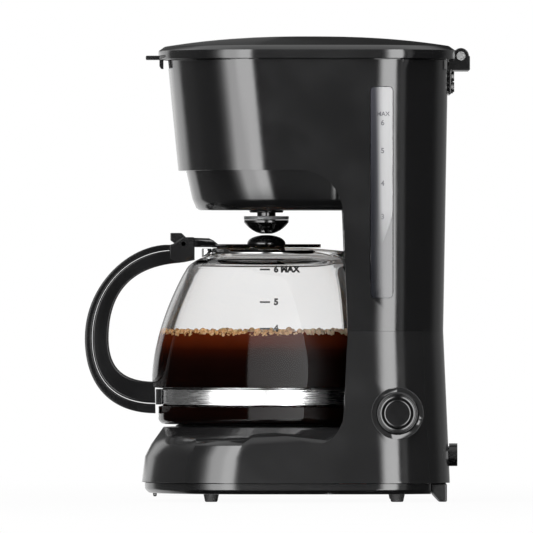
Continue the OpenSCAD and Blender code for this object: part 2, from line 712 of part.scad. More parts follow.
// ---------- switch and supply ----------
bezel_in = 8.4;
bezel_face = hw - 0.1;
button_face = hw - 0.4;
button_travel = 1.8;
module switch_bezel() {
  color("#232324") on_axis() difference() {
    union() {
      switch_axis(dish_x, bezel_face, bezel_r);
      switch_axis(dish_x - 9, dish_x, bezel_r - 1.5 - run);
    }
    switch_axis(0, far, bezel_in);
    switch_axis(bezel_face - 0.9, far, bezel_in + 1.2);
  }
}
module power_button() {
  color("#2c2c2d") on_axis() difference() {
    union() {
      switch_axis(dish_x - 7, button_face, button_r);
      switch_axis(dish_x - 12.5, dish_x - 6, 2.2);
    }
    // shallow concave face
    translate([button_face + 21.3, switch_y, switch_z]) sphere(r = 22);
  }
}
module button_spring() {
  // three rings between the switch's body and the pressed button
  color("silver") on_axis() for (i = [0:2]) translate([body_x + 0.42 + 0.82 * i, switch_y, switch_z]) rotate([0, 90, 0])
    rotate_extrude() translate([3.4, 0]) circle(r = 0.4);
}
body_x = dish_x - 11.5;
module switch_body() {
  color("#3a3a3c") on_axis() difference() {
    union() {
      box([body_x - 14, switch_y - 8, switch_z - 8], [body_x, switch_y + 8, switch_z + 8]);
      both_sides_y(switch_y) box([body_x - 0.5, switch_y + 6.5, switch_z - 3], [dish_x - 9.2, switch_y + 8.3, switch_z + 3]);
      both_sides_y(switch_y) box([body_x - 22, switch_y + 3, switch_z - 3], [body_x - 13, switch_y + 3.8, switch_z + 3]);
    }
    switch_axis(body_x - 4, far, 2.2 + run);
  }
}
module both_sides_y(y) { children(); translate([0, 2 * y, 0]) mirror([0, 1, 0]) children(); }
gland_x = 34;
gland_z = 25.2;
gland_r = 6.15;
gland_neck = 4.6;
gland_tip = 103.2;
gland_bore = 3.6;
module cord_gland() {
  rear = lower_rear(gland_z);
  color("#1a1a1a") on_axis() difference() {
    union() {
      rod_y(gland_x, rear + gap, gland_tip, gland_z, gland_r);
      rod_y(gland_x, rear - wall - 4, rear + 1, gland_z, gland_neck);
      rod_y(gland_x, rear - wall - 4, rear - wall - gap, gland_z, gland_r - 0.4);
    }
    rod_y(gland_x, 0, far, gland_z, gland_bore);
  }
}
block = [[gland_x - 7.5, 62, plate_floor + 2 + gap], [gland_x + 12.5, 76, 19]];
module terminal_block() {
  color("#e6e6e2") on_axis() difference() {
    box(block[0], block[1]);
    for (i = [0:2]) rod_y(block[0][0] + 3.5 + 6.5 * i, 0, far, 13, 1.7);
    for (i = [0:2]) post(block[0][0] + 3.5 + 6.5 * i, (block[0][1] + block[1][1]) / 2, 15, far, 1.9);
  }
}
// Leads inside the base, each along a few straight stretches
lead_r = 1.1;
lead_sides = 8;
function unit(v) = v / norm(v);
// Direction of a route at its point i, and a ring of points square to it
function heading(p, i) = unit(unit(p[min(i + 1, len(p) - 1)] - p[max(i - 1, 0)]));
function ring(c, d, r) =
  let (u = unit(cross(d, abs(d[2]) > 0.8 ? [1, 0, 0] : [0, 0, 1])), v = cross(d, u))
  [for (k = [0:lead_sides - 1]) let (a = 360 * k / lead_sides) c + r * (u * cos(a) + v * sin(a))];
module lead(points) {
  n = len(points);
  polyhedron(
    [for (i = [0:n - 1]) each ring(points[i], heading(points, i), lead_r)],
    concat(
      [[for (k = [0:lead_sides - 1]) k]],
      [for (i = [0:n - 2], k = [0:lead_sides - 1]) let (a = i * lead_sides, m = (k + 1) % lead_sides)
        [a + k, a + lead_sides + k, a + lead_sides + m, a + m]],
      [[for (k = [lead_sides - 1:-1:0]) (n - 1) * lead_sides + k]]));
}
module wire_leads() {
  x = [for (i = [0:2]) block[0][0] + 3.5 + 6.5 * i];
  blade_x = body_x - 22 - lead_r - gap;
  rod_end = heater_z - 9 - lead_r - gap;
  color("#c23b2e") on_axis() {
    lead([[x[2], 62.5, 13], [x[2], 57, 13], [x[2] + 2, 57, 40], [blade_x, switch_y - 3.4, switch_z]]);
    lead([[blade_x, switch_y + 3.4, switch_z], [34, switch_y + 3.4, 30], [36, 50, 12.5], [5, -30, 12.5], [3.4, sensor_y, 14.4]]);
    lead([[-3.4, sensor_y, 14.4], [-8, sensor_y + 6, 12.5], [-30, 0, 12.5], [-rod_post[0] - 8, rod_post[1], 14],
      [-rod_post[0], rod_post[1], rod_end]]);
    lead([[rod_post[0], rod_post[1], rod_end], [fuse_x + 16, 8, 20], [fuse_x + 14.2, 0, fuse_z]]);
    lead([[fuse_x - 14.2, 0, fuse_z], [2, 8, 17], [0, 50, 8], [30, 50, 8], [x[0], 58, 13], [x[0], 62.5, 13]]);
  }
}

// ---------- hinge and lid ----------
knuckle_r = 4.3;
knuckle_x0 = 14;
ear_x0 = bracket_x - ear_w;
rear_face = rear_top + gap;
module hinge_bracket() {
  color("#1d1d1e") on_axis() difference() {
    union() {
      // shelf behind the housing's rim
      box([-bracket_x, rear_face, shelf_z], [bracket_x, hinge_reach, pin_z - knuckle_r - 0.6]);
      box([-bracket_x, rear_face, plate_low], [bracket_x, rear_face + 1.4, shelf_z + over]);
      both_sides() box([ear_x0, rear_face, shelf_z], [bracket_x, hinge_reach, housing_top]);
      both_sides() box([ear_x0, lid_rear + gap, shelf_z], [bracket_x, hinge_reach, pin_z]);
      both_sides() rod_x(ear_x0, bracket_x, pin_y, pin_z, knuckle_r);
    }
    rod_x(-far, far, pin_y, pin_z, pin_r + run / 2);
    both_sides() for (z = screw_rows) rod_y(bracket_x - ear_w / 2, 0, far, z, screw_r + run);
  }
}
module bracket_screws() {
  color("#555") on_axis() both_sides() for (z = screw_rows)
    translate([bracket_x - ear_w / 2, rear_face + 3.1, z]) rotate([90, 0, 0]) screw(bracket_screw_h, screw_r);
}
module hinge_pin() {
  color("#777") on_axis() {
    rod_x(-bracket_x - 1, bracket_x + 0.3, pin_y, pin_z, pin_r);
    rod_x(bracket_x + 0.3, bracket_x + 1.2, pin_y, pin_z, pin_r + 0.9);
  }
}
lid_low = housing_top + 0.4;             // lower edge of the lid's rim
lid_hw = hw + lid_over;
lid_mid = (lid_rear - lid_front) / 2;
lid_steps = [[5, 1], [7.2, 0.957], [9.3, 0.806], [11.5, 0.49], [lid_rise, 0.08]];
function lid_plan(t) = plan(lid_hw, lid_front, lid_rear, lid_bow, front_corner + 3, rear_corner, t);
function lid_scaled(s, t) = [for (p = lid_plan(t)) [p[0] * s, lid_mid + (p[1] - lid_mid) * s]];
module lid_form(t, low) {
  hull() {
    slice(low, lid_plan(t));
    for (s = lid_steps) slice(lid_low + s[0] * lid_rise / 12.8 - t - thin, lid_scaled(s[1], t));
  }
}
tab_hw = 12;
tab_front = 65.3;
module lid_shell() {
  color("#262627") on_axis() difference() {
    union() {
      difference() {
        lid_form(0, lid_low);
        lid_form(2.2, lid_low - over);
      }
      // tab with its hook at the front
      box([-tab_hw, -tab_front, lid_low], [tab_hw, -lid_front + 4, lid_low + 2.3]);
      box([-tab_hw + 2, -tab_front + 7.4, lid_low - 4.9], [tab_hw - 2, -tab_front + 9.5, lid_low + 1]);
      // knuckles
      both_sides() rod_x(knuckle_x0, ear_x0 - gap, pin_y, pin_z, knuckle_r);
      both_sides() box([knuckle_x0, lid_rear - 3, pin_z - 1.6], [ear_x0 - gap, pin_y, pin_z + 2.6]);
    }
    both_sides() box([ear_x0 - gap, lid_rear - 2.4, 0], [bracket_x + 1.6, far, far]);
    rod_x(-far, far, pin_y, pin_z, pin_r + run);
  }
}
liner_z = housing_top - 3.4;
liner_rear = 92;
function liner_plan(t) = upper_plan(liner_z, wall + 1 + t);
module lid_liner() {
  color("#1b1b1c") on_axis() intersection() {
    union() {
      difference() {
        slab(liner_z, 6.2, liner_plan(0));
        slab(liner_z + 2, 6, liner_plan(2));
        box([-far, liner_rear - 2, liner_z + 2], [far, far, far]);
      }
      box([-hw + 26, liner_rear - 2, liner_z], [hw - 26, liner_rear, liner_z + 6.2]);
    }
    box([-far, -far, 0], [far, liner_rear, far]);
  }
}
spread_r = 33;
spread_low = liner_z - 14;
channel_w = 8;
module water_spreader() {
  color("#d5d5d1") on_axis() difference() {
    union() {
      post(0, 0, spread_low, liner_z - gap, spread_r);
      box([leg_x - channel_w, 5, spread_low], [leg_x + channel_w, spout_tip - 2.5, liner_z - gap]);
    }
    post(0, 0, spread_low + 2, liner_z - 2, spread_r - 1.8);
    box([leg_x - channel_w + 1.8, 5, spread_low + 2], [leg_x + channel_w - 1.8, far, liner_z - 2]);
    for (r = [9, 18, 27]) for (i = [0:r / 1.5 - 1]) rotate([0, 0, i * 540 / r]) post(r, 0, 0, liner_z - 4, 1);
  }
}

// ---------- carafe ----------
jug_floor = plate_z + gap;               // the jug stands just above the warming plate
belly_z = 65.6;                          // height of the jug's largest radius
shoulder_z = 125.8;
waist_r = jug_r - 6;                     // groove that takes the steel band
band_z = 52.1;
foot_jug_r = jug_r - 3.5;
function belly(z) = jug_r - (jug_r - 43.4) * pow((z - belly_z) / (shoulder_z - belly_z), 1.79);
// Outside of the jug from the foot to the rim, t inside the glass
function jug_side(t) = concat(
  [[0, jug_floor + t]],
  arc([foot_jug_r - 4, jug_floor + 4], 4 - t * 0.9, -90, 0, 5),
  [[foot_jug_r - t, band_z - 2.2], [waist_r - t, band_z - 0.6 - t * 0.3], [waist_r - t, band_z + band_w + 0.4 + t * 0.3],
    [waist_r + 3.4 - t, band_z + band_w + 1.8 + t * 0.3], [jug_r - 0.4 - t, band_z + band_w + 3.6 + t * 0.3]],
  [for (i = [0:8]) let (z = mix(belly_z, shoulder_z - 2.8, i / 8)) [belly(z) - t, z]],
  [[43.6 - t, shoulder_z], [41.6 - t, shoulder_z + 1.9], [38.3 - t * 0.9, shoulder_z + 4.1 - t * 0.4],
    [35.6 - t * 0.8, shoulder_z + 5.7 - t * 0.6], [neck_r + 1.6 - t * 0.9, shoulder_z + 7.1 - t * 0.7],
    [neck_r - t, shoulder_z + 8.4], [neck_r - t, rim_z]]);
lip_tip = 43;                            // reach of the pouring lip
module glass_jug() {
  color("#e8f0f2", 0.35) on_axis() difference() {
    union() {
      rotate_extrude() polygon(concat(jug_side(0), flipped(jug_side(glass))));
      hull() {
        translate([0, 14, rim_z - 3.4]) cylinder(r = 17, h = 3.4, $fn = 32);
        translate([0, lip_tip - 3.4, rim_z - 1.9]) cylinder(r = 3.4, h = 0.8, $fn = 32);
      }
    }
    hull() {
      translate([0, 14, rim_z - 2]) cylinder(r = 15.4, h = 3.4, $fn = 32);
      translate([0, lip_tip - 3.8, rim_z - 1.2]) cylinder(r = 2.4, h = 4, $fn = 32);
    }
    post(0, 0, shoulder_z + 6, rim_z + over, neck_r - glass);
  }
}
module coffee() {
  color("#2a0d05") on_axis() rotate_extrude() polygon(concat(
    [for (p = jug_side(glass + 0.15)) if (p[1] < coffee_z) p],
    [[belly(coffee_z) - glass - 0.15, coffee_z], [0, coffee_z]]));
}
module steel_band() {
  color("#d9d9d9") on_axis() difference() {
    post(0, 0, band_z, band_z + band_w, waist_r + 0.8);
    post(0, 0, 0, far, waist_r + 0.2);
  }
}
grip_end = 60.1;                         // the handle's lower end, in front of the brew axis
module band_clamp() {
  color("#151516") on_axis() difference() {
    box([-handle_w / 2 + 1, -grip_end + 0.2, band_z], [handle_w / 2 - 1, -waist_r + 4, band_z + band_w]);
    translate([0, 0, -over]) cylinder(h = far, r = waist_r + 1, $fn = 240);
  }
}
lip_half = 17;                           // the collar stays open for the pouring lip
module neck_collar() {
  color("#4a4a4c") on_axis() difference() {
    union() {
      post(0, 0, shoulder_z + 8, rim_z - 1.2, neck_r + 1.2);
      box([-7, -neck_r - 5.6, shoulder_z + 5.6], [7, -neck_r - 0.3, rim_z - 0.3]);
    }
    post(0, 0, 0, far, neck_r + 0.3);
    rotate_extrude() polygon([[neck_r, shoulder_z + 8.8], [neck_r + 2, shoulder_z + 7.4], [35.9, shoulder_z + 6.1],
      [38.6, shoulder_z + 4.5], [38.6, shoulder_z], [neck_r, shoulder_z]]);
    box([-lip_half, 0, 0], [lip_half, far, far]);
  }
}
// Outer and inner edges of the handle's side view, from the top round to the lower end
mid_z = 88;
lid_pin_y = -44.9;
lid_pin_z = 139.1;
grip_top = 138.7;
function outer_edge(n) = concat(
  bezier([[-52, grip_top], [-73, grip_top + 1], [-handle_reach, 118], [-handle_reach, mid_z]], n),
  bezier([[-handle_reach, mid_z], [-handle_reach, 62], [-84, 47.3], [-grip_end, 47.3]], n, 1));
function inner_edge(n) = concat(
  bezier([[-46.6, 128.9], [-74, 127], [-handle_reach + 12.9, 112], [-handle_reach + 12.9, mid_z]], n),
  bezier([[-handle_reach + 12.9, mid_z], [-handle_reach + 12.9, 72], [-78, 64.5], [-jug_r - 0.6, 64.5]], n, 1));
function between(a, b, t) = [for (i = [0:len(a) - 1]) mix(a[i], b[i], t)];
spine_share = 0.3;                       // share of the handle's depth that its spine takes
edge_n = 12;
slot_hw = 5.2;                           // half width of the slot for the lid's lever
module handle_grip() {
  a = between(outer_edge(edge_n), inner_edge(edge_n), spine_share + 0.015);
  color("#232324") on_axis() difference() {
    union() {
      along_x(handle_w) polygon(concat(a, [[-grip_end, 59.5]], flipped(inner_edge(edge_n))));
      // block that carries the lid's pin
      along_x(handle_w) polygon([[-51, 133], [-47.6, 128.9], [-44.6, 129.2], [-38.9, 133], [-38.9, 142.8],
        [-45, 142.8], [-50.5, 139.2]]);
    }
    box([-slot_hw, -55.6, 130], [slot_hw, far, far]);
    rod_x(-far, far, lid_pin_y, lid_pin_z, 1.2 + run);
  }
}
module handle_spine() {
  b = between(outer_edge(edge_n), inner_edge(edge_n), spine_share - 0.005);
  color("#2b2b2c") on_axis() difference() {
    along_x(handle_w) polygon(concat(outer_edge(edge_n), flipped(b)));
    box([-slot_hw, -55.6, 130], [slot_hw, far, far]);
  }
}
mark_z = [93.4, 107.7, 125.3];
module jug_marks() {
  color("#111") on_axis() for (z = mark_z)
    box([belly(z - 0.4) + 0.35, -3.6, z - 0.4], [belly(z - 0.4) + 0.75, 2, z + 0.4]);
}
module jug_lid_pin() {
  color("#777") on_axis() rod_x(-handle_w / 2, handle_w / 2, lid_pin_y, lid_pin_z, 1.2);
}
lid_r = 29.5;
module jug_lid() {
  arm_hw = slot_hw - 0.4;
  color("#1e1e1f") on_axis() difference() {
    union() {
      post(0, 0, rim_z + gap, rim_z + 2.1, lid_r);
      difference() {
        post(0, 0, rim_z - 3.2, rim_z + 1, neck_r - glass - 0.7);
        post(0, 0, 0, rim_z + gap, neck_r - glass - 2.2);
      }
      along_x(2 * arm_hw) polygon([[-52, 145.1], [-46, 145.1], [-43.4, 142.6], [-31, 142.2], [-28.6, 141],
        [-26, rim_z + 2], [-26, rim_z + 0.5], [-40, rim_z + 0.5], [-42, 136.2], [-47.4, 136.4], [-50, 139.6], [-52, 141]]);
    }
    rod_x(-far, far, lid_pin_y, lid_pin_z, 1.2 + run);
    box([-far, 10, 0], [far, far, rim_z + gap - 0.01]);
  }
}
dome_r = 10.4;
dome_z = rim_z + 2.1;
dome_rise = 5;                           // from the lid up to the dome's crown
dome_arc = 13.6;
module jug_lid_dome() {
  color("#131314") on_axis() rotate_extrude() polygon(concat([[0, dome_z]],
    arc([0, dome_z + dome_rise - dome_arc], dome_arc, acos(dome_r / dome_arc), 90, 8)));
}

upper_housing();
lower_housing();
base_plate();
rubber_feet();
heel_block();
base_screws();
seam_screws();
brew_bowl();
water_tank();
gauge_window();
gauge_marks();
riser_tube();
water_spout();
tank_hose();
inlet_hose();
outlet_hose();
check_valve();
check_ball();
water_heater();
heating_rod();
heater_strap();
strap_screws();
warming_plate();
plate_gasket();
thermostat();
thermal_fuse();
switch_bezel();
switch_body();
button_spring();
power_button();
terminal_block();
wire_leads();
cord_gland();
hinge_bracket();
bracket_screws();
hinge_pin();
lid_shell();
lid_liner();
water_spreader();
filter_basket();
basket_handle();
mesh_filter();
valve_stem();
valve_washer();
valve_cup();
valve_seal();
valve_spring();
glass_jug();
coffee();
steel_band();
band_clamp();
neck_collar();
handle_grip();
handle_spine();
jug_marks();
jug_lid_pin();
jug_lid();
jug_lid_dome();
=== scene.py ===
"""Finishes, rounded edges, glass, coffee and studio for a drip coffee maker.

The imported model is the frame. Each operator dresses one piece, or one group of like pieces, and takes
its sizes and colours from the property groups. Lengths named in millimetres are turned to metres by at().
"""

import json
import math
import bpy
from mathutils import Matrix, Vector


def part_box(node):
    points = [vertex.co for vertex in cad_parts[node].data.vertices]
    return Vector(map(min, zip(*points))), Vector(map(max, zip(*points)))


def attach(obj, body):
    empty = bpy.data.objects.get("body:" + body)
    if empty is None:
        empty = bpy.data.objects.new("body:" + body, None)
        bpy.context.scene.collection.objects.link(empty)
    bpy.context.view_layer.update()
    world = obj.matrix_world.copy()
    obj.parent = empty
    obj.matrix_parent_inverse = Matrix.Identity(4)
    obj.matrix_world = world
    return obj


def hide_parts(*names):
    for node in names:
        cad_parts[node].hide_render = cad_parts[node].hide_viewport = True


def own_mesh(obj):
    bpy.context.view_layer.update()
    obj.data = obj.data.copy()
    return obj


bl_info = {
    "name": "Drip Coffee Maker",
    "version": (1, 0, 0),
    "blender": (4, 5, 0),
    "location": "View3D > Sidebar > Coffee Maker",
    "description": "Finishes, glass, coffee and studio for a drip coffee maker",
    "category": "Object",
}

import bmesh
import bpy
from bpy.props import FloatProperty, FloatVectorProperty, IntProperty, PointerProperty
from mathutils import Matrix, Vector
from mathutils.geometry import intersect_line_line_2d
from mathutils.kdtree import KDTree

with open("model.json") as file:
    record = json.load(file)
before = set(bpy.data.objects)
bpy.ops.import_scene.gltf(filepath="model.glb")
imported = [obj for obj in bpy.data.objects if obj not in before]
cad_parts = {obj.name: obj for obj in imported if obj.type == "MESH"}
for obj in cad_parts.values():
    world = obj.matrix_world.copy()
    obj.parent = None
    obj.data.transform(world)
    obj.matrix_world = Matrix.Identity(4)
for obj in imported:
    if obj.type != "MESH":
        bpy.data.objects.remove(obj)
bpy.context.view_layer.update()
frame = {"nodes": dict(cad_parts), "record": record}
NODES = frame["nodes"]
RECORD = frame["record"]
BODY_OF = {node: body for body, members in RECORD["behaviour"]["bodies"].items() for node in members}
SLOT_OF = {part["node"]: part["material_slot"] for part in RECORD["subparts"]}
MM = 0.001


def edges_of(node):
    """Lowest and highest corner of a CAD node, in millimetres."""
    low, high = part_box(node)
    return low / MM, high / MM


BAND_LOW, BAND_HIGH = edges_of("steel_band")
BREW_Y = (BAND_LOW.y + BAND_HIGH.y) / 2
JUG_LOW, JUG_HIGH = edges_of("glass_jug")
LID_LOW, LID_HIGH = edges_of("lid_shell")
HEAD_LOW, HEAD_HIGH = edges_of("upper_housing")
COFFEE_TOP = edges_of("coffee")[1].z


def at(x, y, z):
    """A point given in millimetres from the brew axis, in metres in the frame."""
    return Vector((x * MM, (y + BREW_Y) * MM, z * MM))


# ---------- settings ----------
def colour(name, text, value):
    return FloatVectorProperty(name=name, description=text, default=value, subtype="COLOR", size=3, min=0, max=1)


def length(name, text, value):
    return FloatProperty(name=name, description=text, default=value, unit="LENGTH", min=0)


class HousingSettings(bpy.types.PropertyGroup):
    upper: colour("Upper housing", "Colour of the head, tower and lid", (0.0125, 0.0125, 0.013))
    lower: colour("Lower housing", "Colour of the base and the tower's foot", (0.0185, 0.0185, 0.019))
    black: colour("Black pieces", "Colour of the handle, switch and lid of the carafe", (0.009, 0.009, 0.0095))
    edge: length("Edge rounding", "Radius along the edges of the mouldings", 0.0008)
    seam: length("Seam rounding", "Radius along the seam between the housings", 0.0002)


class CarafeSettings(bpy.types.PropertyGroup):
    tint: colour("Glass tint", "Colour of the jug's glass", (0.94, 0.94, 0.94))
    wall: length("Glass wall", "Thickness of the jug's wall", 0.0018)
    coffee: colour("Coffee", "Colour of the coffee low in the jug", (0.006, 0.0012, 0.0006))
    # painted light: the red brown of light getting through the coffee just under its foam
    rim_coffee: colour("Coffee at the top", "Colour of the coffee just under its foam", (0.12, 0.018, 0.004))
    foam: colour("Foam", "Colour of the foam's bubbles", (0.85, 0.47, 0.19))
    bubbles: IntProperty(name="Bubbles", description="Bubbles along the wall of the jug", default=2200, min=10)


class StudioSettings(bpy.types.PropertyGroup):
    reach: length("Camera distance", "Distance from the middle of the machine to the camera", 9.6)
    view_width: length("View width", "Width of what the camera frames", 0.2878)
    daylight: FloatProperty(name="Light", description="Strength of the even light", default=0.8, min=0)
    boxes: FloatProperty(name="Soft boxes", description="Brightness of the reflected soft boxes", default=10, min=0)


# ---------- shader building ----------
class Tree:
    """A node tree, written one node to a line. An input takes a value or another node's output."""

    def __init__(self, tree):
        self.tree = tree

    def add(self, kind, inputs=None, **settings):
        node = self.tree.nodes.new(kind)
        for key, value in settings.items():
            setattr(node, key, value)
        for key, value in (inputs or {}).items():
            if isinstance(value, bpy.types.NodeSocket):
                self.tree.links.new(value, node.inputs[key])
            else:
                node.inputs[key].default_value = value
        return node

    def math(self, operation, a, b=0.0, c=0.0):
        inputs = {0: a, 1: b, 2: c}
        return self.add("ShaderNodeMath", inputs, operation=operation).outputs[0]

    def ramp(self, value, stops, smooth=False):
        """A colour ramp through (place, colour) stops."""
        node = self.add("ShaderNodeValToRGB", {"Fac": value})
        node.color_ramp.interpolation = "EASE" if smooth else "LINEAR"
        points = node.color_ramp.elements
        while len(points) < len(stops):
            points.new(0.5)
        for point, (place, shade) in zip(points, stops):
            point.position = place
            point.color = (*shade, 1) if len(shade) == 3 else shade
        return node.outputs["Color"]

    def between(self, value, low, high, to_low=0.0, to_high=1.0, smooth=True):
        kind = "SMOOTHSTEP" if smooth else "LINEAR"
        inputs = {"Value": value, "From Min": low, "From Max": high, "To Min": to_low, "To Max": to_high}
        return self.add("ShaderNodeMapRange", inputs, interpolation_type=kind).outputs["Result"]

    def blend(self, factor, a, b):
        return self.add("ShaderNodeMix", {0: factor, 6: a, 7: b}, data_type="RGBA").outputs[2]

    def noise(self, scale, detail=2.0, vector=None, rough=0.5):
        inputs = {"Scale": scale, "Detail": detail, "Roughness": rough, "Vector": vector or self.place()}
        return self.add("ShaderNodeTexNoise", inputs).outputs[0]

    def place(self, stretch=(1, 1, 1), centre=(0, 0, 0)):
        """Object coordinates in metres, from a centre and stretched along the axes."""
        spot = self.add("ShaderNodeTexCoord").outputs["Object"]
        inputs = {"Vector": spot, "Location": [-c * s for c, s in zip(centre, stretch)], "Scale": stretch}
        return self.add("ShaderNodeMapping", inputs).outputs[0]

    def bump(self, height, distance, strength=1.0, normal=None):
        inputs = {"Height": height, "Distance": distance, "Strength": strength}
        if normal:
            inputs["Normal"] = normal
        return self.add("ShaderNodeBump", inputs).outputs[0]


def rgba(shade, times=1.0):
    return (*[min(1.0, c * times) for c in shade[:3]], 1.0)


def finish(name, shade, rough, metal=0.0, **more):
    """A material with constant colour, roughness and metal on its shader: (material, tree, shader)."""
    material = bpy.data.materials.new(name)
    material.use_nodes = True
    tree = Tree(material.node_tree)
    shader = material.node_tree.nodes["Principled BSDF"]
    values = {"Base Color": rgba(shade), "Roughness": rough, "Metallic": metal}
    values.update(more)
    for key, value in values.items():
        shader.inputs[key].default_value = value
    material.diffuse_color = rgba(shade)
    return material, tree, shader


def join(tree, output, shader, name):
    tree.tree.links.new(output, shader.inputs[name])


def mottled(tree, shader, shade, scale, spread):
    """Colour that drifts a little over the surface."""
    drift = tree.noise(scale, 3)
    join(tree, tree.blend(drift, rgba(shade, 1 - spread), rgba(shade, 1 + spread)), shader, "Base Color")


def smudged(tree, shader, rough, spread, scale=35.0):
    """Roughness that drifts as on a handled surface."""
    drift = tree.noise(scale, 4, rough=0.6)
    join(tree, tree.between(drift, 0.3, 0.7, rough - spread, rough + spread), shader, "Roughness")


def glossy_plastic(name, shade, rough=0.13):
    """Polished moulding: faint orange peel, smudges and a slight drift of colour."""
    material, tree, shader = finish(name, shade, rough)
    mottled(tree, shader, shade, 22, 0.10)
    smudged(tree, shader, rough, 0.03)
    join(tree, tree.bump(tree.noise(420, 1), 0.000006), shader, "Normal")
    return material


def satin_plastic(name, shade, rough=0.42, grain=0.00003):
    """Spark-eroded moulding with a fine grain."""
    material, tree, shader = finish(name, shade, rough)
    mottled(tree, shader, shade, 60, 0.12)
    smudged(tree, shader, rough, 0.06)
    join(tree, tree.bump(tree.noise(2600, 2), grain), shader, "Normal")
    return material


def soft_rubber(name, shade, rough=0.7):
    material, tree, shader = finish(name, shade, rough)
    mottled(tree, shader, shade, 140, 0.2)
    join(tree, tree.bump(tree.noise(1500, 3), 0.00004), shader, "Normal")
    return material


def milky_silicone(name, shade, rough=0.35, through=0.35):
    material, tree, shader = finish(name, shade, rough)
    shader.inputs["Subsurface Weight"].default_value = 0.4
    shader.inputs["Subsurface Radius"].default_value = (0.003, 0.003, 0.003)
    shader.inputs["Transmission Weight"].default_value = through
    mottled(tree, shader, shade, 90, 0.06)
    return material


def metal(name, shade, rough, stretch=(1, 1, 1), grain=900.0, depth=0.000012):
    """Metal with fine lines along the axes that stretch leaves long."""
    material, tree, shader = finish(name, shade, rough, 1.0)
    lines = tree.noise(grain, 3, tree.place(stretch))
    join(tree, tree.between(lines, 0.3, 0.7, rough * 0.7, rough * 1.4), shader, "Roughness")
    join(tree, tree.blend(lines, rgba(shade, 0.9), rgba(shade, 1.06)), shader, "Base Color")
    join(tree, tree.bump(lines, depth), shader, "Normal")
    return material


def woven_metal(name, shade):
    """Fine wire cloth: two crossed waves raise the wires and paint shade into the holes between them."""
    material, tree, shader = finish(name, shade, 0.35, 1.0)
    spot = tree.add("ShaderNodeSeparateXYZ", {0: tree.place()})
    turns = 2 * math.pi / 0.0007
    across = tree.math("SINE", tree.math("MULTIPLY", spot.outputs["X"], turns))
    along = tree.math("SINE", tree.math("MULTIPLY", spot.outputs["Y"], turns))
    weave = tree.math("MAXIMUM", across, along)
    # the holes between the wires get painted shade, near black; the wires keep their own colour
    wire_and_hole_shade = [(0.0, (0.02, 0.015, 0.01)), (0.35, shade[:3])]
    join(tree, tree.ramp(tree.between(weave, -1, 1), wire_and_hole_shade), shader, "Base Color")
    join(tree, tree.bump(weave, 0.00012), shader, "Normal")
    return material


def plate_coating(name, shade):
    """Dark non-stick coating with a fine light fleck."""
    material, tree, shader = finish(name, shade, 0.34)
    fleck = tree.between(tree.noise(3800, 1), 0.66, 0.74)
    join(tree, tree.blend(fleck, rgba(shade), (0.12, 0.12, 0.12, 1)), shader, "Base Color")
    join(tree, tree.bump(tree.noise(1900, 2), 0.00002), shader, "Normal")
    return material


def jug_glass(name, tint):
    material, tree, shader = finish(name, tint, 0.0)
    shader.inputs["Transmission Weight"].default_value = 1.0
    shader.inputs["IOR"].default_value = 1.47
    ripple = tree.noise(18, 1, tree.place((1, 1, 0.25)))
    join(tree, tree.bump(ripple, 0.00004, 0.4), shader, "Normal")
    return material


def coffee_liquid(name, dark, light, top):
    """Near black below, red brown where light gets through under the foam."""
    material, tree, shader = finish(name, dark, 0.04)
    # it lies against the glass, so nothing is reflected where they meet
    shader.inputs["Specular IOR Level"].default_value = 0.0
    height = tree.add("ShaderNodeSeparateXYZ", {0: tree.place()}).outputs["Z"]
    drift = tree.math("MULTIPLY", tree.noise(60, 2), 0.003)
    level = tree.between(tree.math("ADD", height, drift), top - 0.022, top + 0.0015)
    stops = [(0.0, dark), (0.3, [d * 1.7 for d in dark])]
    stops += [(place, [c * share for c in light]) for place, share in ((0.62, 0.25), (0.82, 0.7))]
    stops += [(1.0, light)]
    join(tree, tree.ramp(level, stops), shader, "Base Color")
    return material


def foam_bubble(name, shade):
    material, tree, shader = finish(name, shade, 0.16)
    cells = tree.noise(900, 2)
    golden = tree.ramp(cells, [(0.3, [c * 0.4 for c in shade]), (0.5, shade), (0.68, (0.95, 0.72, 0.42))])
    # paler towards the pouring lip
    depth = tree.add("ShaderNodeSeparateXYZ", {0: tree.place()}).outputs["Y"]
    lip = tree.between(depth, (BREW_Y + 5) * MM, (BREW_Y + 26) * MM)
    join(tree, tree.blend(tree.math("MULTIPLY", lip, 0.75), golden, (0.95, 0.76, 0.6, 1)), shader, "Base Color")
    shader.inputs["Coat Weight"].default_value = 0.6
    shader.inputs["Subsurface Weight"].default_value = 0.3
    shader.inputs["Subsurface Radius"].default_value = (0.002, 0.001, 0.0005)
    return material


